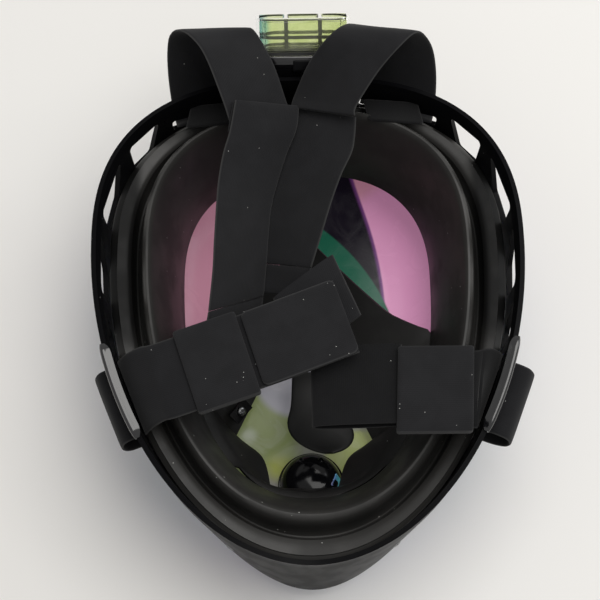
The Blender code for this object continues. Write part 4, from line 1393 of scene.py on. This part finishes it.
def strap_track(stations, start=0.0, end=None, straight=None, count=240):
    """Spots along a strap, each with its distance from the start."""
    end = len(stations) - 1 if end is None else end
    track, distance, before = [], 0.0, None
    for k in range(count + 1):
        centre, half = station_at(stations, start + (end - start) * k / count, straight)
        distance += (centre - before).length if before else 0.0
        before = centre
        track.append((distance, centre, half.normalized()))
    return track


def spot_at(track, distance):
    for (d0, c0, h0), (d1, c1, h1) in zip(track, track[1:]):
        if distance <= d1:
            t = (distance - d0) / max(d1 - d0, 1e-6)
            return c0.lerp(c1, t), h0.lerp(h1, t).normalized()
    return track[-1][1], track[-1][2]


def row_distances(length, corner, spacing):
    """Even rows, with closer ones near the ends so that they can be rounded."""
    near = [0.0, 0.25, 0.6]
    near += [corner * share for share in (0.2, 0.45, 0.75, 1.0) if corner * share > 0.8]
    middle_start, middle_end = near[-1], length - near[-1]
    steps = max(2, round((middle_end - middle_start) / spacing))
    even = [middle_start + (middle_end - middle_start) * k / steps for k in range(1, steps)]
    return near + even + [length - d for d in reversed(near)]


def cloth_normals(track, distances):
    """The strap's own upward direction at each row, turning without a flip."""
    normals = []
    for d in distances:
        ahead, _ = spot_at(track, min(d + 0.8, track[-1][0]))
        behind, _ = spot_at(track, max(d - 0.8, 0.0))
        normal = spot_at(track, d)[1].cross(ahead - behind).normalized()
        reference = normals[-1] if normals else Vector((0, 0, 1))
        normals.append(normal if normal.dot(reference) >= 0 else -normal)
    return normals


def ribbon(
    name, track, material, width=STRAP_WIDTH, thickness=STRAP_THICKNESS,
    lift=0.0, corner=0.0, ripple=0.25, spacing=2.4,
):
    """A flat woven strip along a track, with rounded edges and soft ripples."""
    half_count = 12
    length = track[-1][0]
    distances = row_distances(length, corner, spacing)
    loops, cloth = [], []
    for d, normal in zip(distances, cloth_normals(track, distances)):
        centre, edge = spot_at(track, d)
        end = min(d, length - d)
        pull = 0.0
        if end < corner:
            pull = corner - math.sqrt(max(0.0, corner**2 - (corner - end) ** 2))
        half = width / 2 - pull
        depth = thickness * min(1.0, 0.55 + end / 1.3)
        loop = []
        for k in range(2 * half_count):
            turn = math.pi * k / half_count
            across = half * math.copysign(abs(math.cos(turn)) ** 0.75, math.cos(turn))
            rise = depth / 2 * math.copysign(abs(math.sin(turn)) ** 0.3, math.sin(turn))
            wave = noise.noise(Vector((across * 0.045, d * 0.05, len(name) * 3.7))) * ripple
            loop.append(centre + edge * across + normal * (lift + rise + wave))
            cloth.append((across, d, half - abs(across)))
        loops.append(loop)
    strip = loft(name, loops, material, False, 60)
    mark_cloth(strip, cloth)
    return strip


def mark_cloth(piece, cloth):
    """Stores each point's place in the cloth: across, along, and distance from the edge."""
    attribute = piece.data.attributes.new("cloth", "FLOAT_VECTOR", "POINT")
    for item, value in zip(attribute.data, cloth):
        item.vector = value


# %% [markdown]
# ## Upper straps and tabs
# Each upper strap comes up through a slot in the rim's brow, folds over and runs back to the crown.
# Its sewn end shows inside the rim as a short ribbed tab.

# %% Build the upper straps and tabs
def build_upper_straps():
    for word, side, stations in (("left", -1, UPPER_STRAP_LEFT), ("right", 1, UPPER_STRAP_RIGHT)):
        strap = ribbon("upper_strap_" + word, strap_track(stations), STRAP_CLOTH, ripple=0.5)
        settle(strap, "mask", "webbing", "upper_strap_" + word)
        half = Vector((13.5, -1.2 * side, 0))
        tab_stations = [
            ((42.4 * side, 104.0, 80.0), half),
            ((43.4 * side, 97.0, 82.0), half),
            ((44.4 * side, 89.9, 85.0), half),
        ]
        tab = ribbon("strap_tab_" + word, strap_track(tab_stations), SHADED_CLOTH, 27.0, corner=1.5)
        settle(tab, "mask", "webbing", "strap_tab_" + word)


build_upper_straps()

# %% [markdown]
# ## Crown straps
# Two layers cross the opening of the mask: the upper one is folded back at its end, so a second,
# shorter layer lies under its first stretch. They lift together about a line across the brow.
# Each runs on into a short tail. The upper layer's tail is sewn to the lower left strap, so it
# stays with that strap when the crown lifts.

# %% Build the crown straps
CROWN_FOLD = [
    ((-18.9, 92.7, 100.4), (15.1, 3.4, -10.1)),
    ((-19.9, 86, 100.5), (15.3, 3.8, -9.6)),
    ((-21.0, 78.5, 100.1), (15.8, 4.2, -9)),
]


CROWN_TAILS = {
    "top": [
        ((-34.05, -3.2, 85.3), (12.5, 7.9, -11.1)),
        ((-35.2, -11, 82.8), (12.7, 7.9, -10.6)),
        ((-36.4, -21, 79.0), (13.0, 7.9, -10.0)),
    ],
    "under": [
        ((-13.35, 18.3, 79.3), (14.9, -5.6, 9.4)),
        ((-14.6, 12, 77.8), (14.9, -5.6, 9.4)),
        ((-16.0, 5, 76.2), (14.9, -5.6, 9.4)),
    ],
}


def build_crown():
    top = ribbon("crown_strap_top", strap_track(CROWN_TOP_LAYER), STRAP_CLOTH, ripple=0.5)
    settle(top, "crown", "webbing", "crown_strap_top")
    under = ribbon("crown_strap_under", strap_track(CROWN_UNDER_LAYER), STRAP_CLOTH, ripple=0.5)
    settle(under, "crown", "webbing", "crown_strap_under")
    fold = ribbon("crown_fold", strap_track(CROWN_FOLD), SHADED_CLOTH, thickness=1.2, ripple=0.1)
    settle(fold, "crown", "webbing", "crown_fold")
    for word, stations in CROWN_TAILS.items():
        tail = ribbon("crown_tail_" + word, strap_track(stations), STRAP_CLOTH, ripple=0.0)
        settle(tail, "lower_left" if word == "top" else "crown", "webbing")


build_crown()

# %% [markdown]
# ## Lower straps
# A lower strap leaves the bar at the ear and runs through a keeper that holds its two layers
# together. The left one ends in a hook-and-loop patch and the right one in a folded sleeve. The
# keeper is a band of the same cloth: a rounded tube with a flat opening for the strap.

# %% Keepers, patches and folded ends
KEEPER_SKIN = 1.5
KEEPER_ROOM = (0.7, 0.45)
PATCH_LIFT = 1.95


def flat_tube(name, rows, sizes, wall, material, squareness=0.3):
    """A flattened tube of cloth: rows of (centre, across, up), and (width, height) for each."""
    half_count = 14
    outer, inner, cloth_out, cloth_in, distance = [], [], [], [], 0.0
    for i, ((centre, across, up), (width, height)) in enumerate(zip(rows, sizes)):
        distance += (centre - rows[i - 1][0]).length if i else 0.0
        for group, marks, less in ((outer, cloth_out, 0.0), (inner, cloth_in, wall)):
            loop = []
            for k in range(2 * half_count):
                turn = math.pi * k / half_count
                c, s = math.cos(turn), math.sin(turn)
                x = (width / 2 - less) * math.copysign(abs(c) ** 0.7, c)
                y = (height / 2 - less) * math.copysign(abs(s) ** squareness, s)
                loop.append(centre + across * x + up * y)
                marks.append((x, distance, width / 2 - abs(x)))
            group.append(loop)
    marks = cloth_out + [m for loop in reversed(range(len(rows)))
                         for m in cloth_in[loop * 2 * half_count:(loop + 1) * 2 * half_count]]
    tube = loft(name, outer + inner[::-1], material, True, 50)
    mark_cloth(tube, marks)
    return tube


def build_keeper(name, stations, start, end, body):
    track = strap_track(stations, start, end, KEEPER_RUN)
    length = track[-1][0]
    width = STRAP_WIDTH + 2 * (KEEPER_ROOM[0] + KEEPER_SKIN)
    height = STRAP_THICKNESS + 2 * (KEEPER_ROOM[1] + KEEPER_SKIN)
    rows, sizes = [], []
    for d in (0.0, 0.3, 1.0, 2.5, length / 2, length - 2.5, length - 1.0, length - 0.3, length):
        centre, edge = spot_at(track, d)
        along = track[-1][1] - track[0][1]
        normal = edge.cross(along).normalized()
        normal = normal if normal.z > 0 else -normal
        shrink = max(0.0, 1.0 - min(d, length - d)) ** 2 * 0.9
        rows.append((centre, edge, normal))
        sizes.append((width - 2 * shrink, height - 1.4 * shrink))
    band = flat_tube(name, rows, sizes, KEEPER_SKIN, TRIM_CLOTH, 0.22)
    settle(band, body, "grip", name)


# Each strap's stations, the station it ends at, the two that its keeper spans, and its cloth.
LOWER_STRAPS = {
    "left": (LOWER_STRAP_LEFT, 6.0, (3.19, 3.88), STRAP_CLOTH),
    "right": (LOWER_STRAP_RIGHT, 3.9, (3.0, 3.95), SHADED_CLOTH),
}
LEFT_PATCH = (3.93, 6.0)


def build_lower_straps():
    for word, (stations, end, keeper, cloth) in LOWER_STRAPS.items():
        track = strap_track(stations, 0, end, KEEPER_RUN)
        strap = ribbon("lower_strap_" + word, track, cloth, ripple=0.3)
        settle(strap, "lower_" + word, "webbing", "lower_strap_" + word)
        build_keeper("strap_keeper_" + word, stations, *keeper, "keeper_" + word)
        if word == "left":
            build_left_patch()


def build_left_patch():
    """The hook-and-loop pad sewn on the end of the left strap."""
    track = strap_track(LOWER_STRAP_LEFT, *LEFT_PATCH, KEEPER_RUN)
    patch = ribbon("grip_patch_left", track, TRIM_CLOTH, lift=PATCH_LIFT, corner=3.0, ripple=0.2)
    settle(patch, "lower_left", "grip", "grip_patch_left")


def fold_sleeve(name, middle, across, along, width, length, heights, cloth, body, *nodes):
    """A strap end folded into a flat sleeve, open at its first end."""
    across, along = Vector(across).normalized(), Vector(along).normalized()
    up = across.cross(along)
    up = up if up.z > 0 else -up
    rows, sizes = [], []
    for k in range(9):
        share = k / 8
        rows.append((Vector(middle) + along * length * share, across, up))
        sizes.append((width, heights[0] + (heights[1] - heights[0]) * share**0.6))
    sleeve = flat_tube(name, rows, sizes, 1.2, cloth, 0.75)
    return settle(sleeve, body, "webbing", *nodes)


build_lower_straps()
fold_sleeve("strap_end_left", (-2.6, 5.8, 95.2), (0.797, 0.604, 0), (0.38, -0.92, -0.02), 35.5, 32,
            (6.4, 3.2), STRAP_CLOTH, "lower_left")
fold_sleeve("strap_end_right", (20.9, -65.5, 92.0), (1, 0.01, 0.03), (0, 1, 0), 42.0, 38,
            (7.6, 5.0), SHADED_CLOTH, "lower_right", "grip_patch_right")

# %% [markdown]
# ## Ear bars and loops
# A glossy rail runs along the rim above the slots at each ear, and the strap turns round it: out
# through the upper slot and back through the lower one.

# %% Build the ear loops and rails
RAIL_DEGREES = (109.3, 128.6)
RAIL_MIDDLE = 1.4
RAIL_SECTION = [
    (-2.4, 0),
    (-2.4, 0),
    (0.9, 0),
    (2.3, 0.9),
    (2.4, 2.3),
    (1.2, 3.2),
    (-0.6, 2.7),
    (-2.4, 2.2),
    (-2.4, 2.2),
]


def build_ear_loop(word, side):
    along = Vector((0.366 * side, 0.93, 0.143))
    out = Vector((0.93 * side, -0.366, 0))
    wall = Vector((86.3 * side, -48.3, 0))
    reach = 8.0 if side < 0 else 12.5
    path = [(-1.6, 77.6), (0.35 * reach, 78.2), (0.8 * reach, 76.6), (reach, 71.5)]
    path += [(0.9 * reach, 65.8), (0.5 * reach, 62.6), (-1.0, 62.0)]
    stations = [(wall + out * d + Vector((0, 0, z)), along * 10) for d, z in path]
    track = strap_track(stations)
    loop = ribbon("ear_loop_" + word, track, STRAP_CLOTH, 35.0, ripple=0.2, spacing=1.4)
    settle(loop, "mask", "webbing", "ear_loop_" + word)


def build_ear_rail(word, side):
    low, high = RAIL_DEGREES
    steps = 26
    section = smooth_chain(RAIL_SECTION, 3, closed=True)
    loops = []
    for k in range(steps + 1):
        degrees = low + (high - low) * k / steps
        base = ring_point(degrees, RIM_TOP)
        ahead = ring_point(degrees + 1, RIM_TOP) - ring_point(degrees - 1, RIM_TOP)
        out = Vector((ahead.y, -ahead.x, 0)).normalized()
        out = out if out.x > 0 else -out
        base.z += 0.45
        end = min(k, steps - k)
        size = (0.45, 0.8, 0.95)[end] if end < 3 else 1.0
        loop = []
        for a, b in section:
            p = base + out * (RAIL_MIDDLE + (a - RAIL_MIDDLE) * size) + Vector((0, 0, b * size))
            loop.append(Vector((p.x * side, p.y, p.z)))
        loops.append(loop)
    rail = loft("ear_rail_" + word, loops, RAIL_GLOSS, False, 50)
    settle(rail, "mask", "gloss", "ear_rail_" + word)


for word, side in (("left", -1), ("right", 1)):
    build_ear_loop(word, side)
    build_ear_rail(word, side)

# %% [markdown]
# ## Screws
# Each screw is a domed head with a cross recess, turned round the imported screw's own axis. The
# two at the chin move in to the dressed wall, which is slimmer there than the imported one.

# %% Build the screws
CHIN_SCREW_SHARE = 0.3
CHIN_SCREW_SINK = 0.9
CHIN_SCREW_PULL = 0.97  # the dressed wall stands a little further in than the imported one
CHIN_ARC = (120, 180)  # degrees round from the forehead


def chin_wall_place(place):
    """The rim's outer face beside a chin screw, and the way out of the wall there."""
    start, end = CHIN_ARC
    spots = [rim_wall_point(d / 4, CHIN_SCREW_SHARE) for d in range(4 * start, 4 * end)]
    target = Vector((abs(place.x), place.y, 0)) * CHIN_SCREW_PULL
    i = min(range(1, len(spots) - 1), key=lambda k: (spots[k] - target).xy.length)
    along = spots[i + 1] - spots[i - 1]
    mirror = Matrix.Diagonal((math.copysign(1, place.x), 1, 1))
    return mirror @ spots[i], mirror @ Vector((-along.y, along.x, 0)).normalized()


def build_screw(node, head_radius):
    middle, directions, points = own_axes(node)
    axis = directions[2]
    along = (points - np.array(middle)) @ np.array(axis)
    radial = np.linalg.norm(np.cross(points - np.array(middle), np.array(axis)), axis=1)
    if along[radial > radial.max() * 0.97].mean() > 0:
        axis = -axis
        along = -along
    base = middle + axis * float(along.min())
    side = directions[0]
    if "chin" in node:
        base, axis = chin_wall_place(base)
        axis = axis if axis.y < 0 else -axis
        base -= axis * CHIN_SCREW_SINK
        side = Vector((0, 0, 1))
    r = head_radius
    profile = [(0, r), (0.5, r), (0.95, r * 0.9), (1.25, r * 0.68), (1.4, r * 0.35), (1.42, 0.01)]
    head = turned(node, base, axis, profile, STEEL, 32)
    other = axis.cross(side)
    for a, b in ((side, other), (other, side)):
        slot = (r * 1.25, r * 0.26)
        loops = [flat_corners(base + axis * h, a, b, slot, 0.08, 2) for h in (0.75, 1.8)]
        apply_cut(head, loft("cutter", loops, STEEL))
    settle(head, "mask", "screw", node)


for spot in ("brow_left", "brow_right", "chin_left", "chin_right"):
    build_screw("rim_screw_" + spot, 2.6)
for word in ("left", "right"):
    build_screw("pocket_screw_" + word, 2.3)

# %% [markdown]
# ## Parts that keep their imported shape
# The socket's seal, the valves' seats and flaps, the clips and the spring are already right as
# packed. They only need their real finish.

# %% Finish the inner parts
KEPT = {
    "cheek_valve_seat_left": PART_GLOSS,
    "cheek_valve_seat_right": PART_GLOSS,
    "cheek_valve_flap_left": SHELF_RUBBER,
    "cheek_valve_flap_right": SHELF_RUBBER,
    "pocket_clip_left": PART_GLOSS,
    "pocket_clip_right": PART_GLOSS,
    "purge_seat": PART_GLOSS,
    "purge_flap": SHELF_RUBBER,
    "purge_guard": PART_GLOSS,
    "socket_seal": SEAL_RUBBER,
    "button_spring": STEEL,
    "exhale_flap_left": SHELF_RUBBER,
    "exhale_flap_right": SHELF_RUBBER,
}
for name, material in KEPT.items():
    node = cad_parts[name]
    node.data.materials.clear()
    node.data.materials.append(material)
print("kept as packed:", len(KEPT))

# %% [markdown]
# ## Floor, light and camera
# The mask lies on a pale table under a large soft light, with a bright room round it, so its black
# parts are shaped by broad reflections. The camera looks down from just below the chin.


# %% Floor and light
def make_floor():
    material, tree, shader = start_material("table", Roughness=0.7, Specular_IOR_Level=0.2)
    place = object_place(tree)
    cloud = add_node(tree, "ShaderNodeTexNoise", Vector=place, Scale=3.0, Detail=2.0)
    tone = mix_colours(tree, cloud.outputs["Fac"], (0.80, 0.785, 0.76, 1), (0.84, 0.83, 0.81, 1))
    feed(tree, shader.inputs["Base Color"], tone)
    half = 1.6
    corners = [(-half, -half, 0), (half, -half, 0), (half, half, 0), (-half, half, 0)]
    floor = add_piece("table_top", [Vector(c) / MM for c in corners], [(0, 1, 2, 3)], material)
    floor.location.z = cad_box[0][2] - 0.0004


def add_light(name, place, aim, size, watts, colour):
    light = bpy.data.lights.new(name, "AREA")
    light.shape = "RECTANGLE"
    light.size, light.size_y = size
    light.energy = watts
    light.color = colour
    lamp = bpy.data.objects.new(name, light)
    lamp.location = place
    lamp.rotation_euler = (Vector(aim) - Vector(place)).to_track_quat("-Z", "Y").to_euler()
    bpy.context.scene.collection.objects.link(lamp)


make_floor()
add_light("softbox overhead", (0.35, 0.25, 1.5), (0, 0, 0.05), (1.5, 1.2), 16, (1.0, 0.985, 0.96))
add_light("window light", (1.5, 0.5, 0.9), (0, 0, 0.05), (1.0, 1.0), 5.5, (0.95, 0.98, 1.0))
world = bpy.data.worlds.new("room")
world.use_nodes = True
world.node_tree.nodes["Background"].inputs["Color"].default_value = (0.99, 0.985, 0.97, 1)
world.node_tree.nodes["Background"].inputs["Strength"].default_value = 0.49
bpy.context.scene.world = world
bpy.context.scene.view_settings.view_transform = "Standard"

# %% Camera
AZIMUTH, ELEVATION, ROLL = math.radians(-2.0), math.radians(70.0), math.radians(0.8)
CAMERA_DISTANCE = 0.8
CAMERA_TARGET = Vector((0, 0, 0.05))


def place_camera():
    back = Vector(
        (
            math.sin(AZIMUTH) * math.cos(ELEVATION),
            -math.cos(AZIMUTH) * math.cos(ELEVATION),
            math.sin(ELEVATION),
        )
    )
    right = Vector((0, 0, 1)).cross(back).normalized()
    up = back.cross(right)
    turned_right = right * math.cos(ROLL) + up * math.sin(ROLL)
    turned_up = back.cross(turned_right)
    camera = bpy.data.cameras.new("camera")
    camera.lens = 98.4
    camera.sensor_width = 36
    camera.shift_x = -0.0143
    camera.shift_y = 0.0367
    obj = bpy.data.objects.new("camera", camera)
    turn = Matrix((turned_right, turned_up, back)).transposed().to_4x4()
    obj.matrix_world = Matrix.Translation(CAMERA_TARGET + back * CAMERA_DISTANCE) @ turn
    bpy.context.scene.collection.objects.link(obj)
    bpy.context.scene.camera = obj


place_camera()
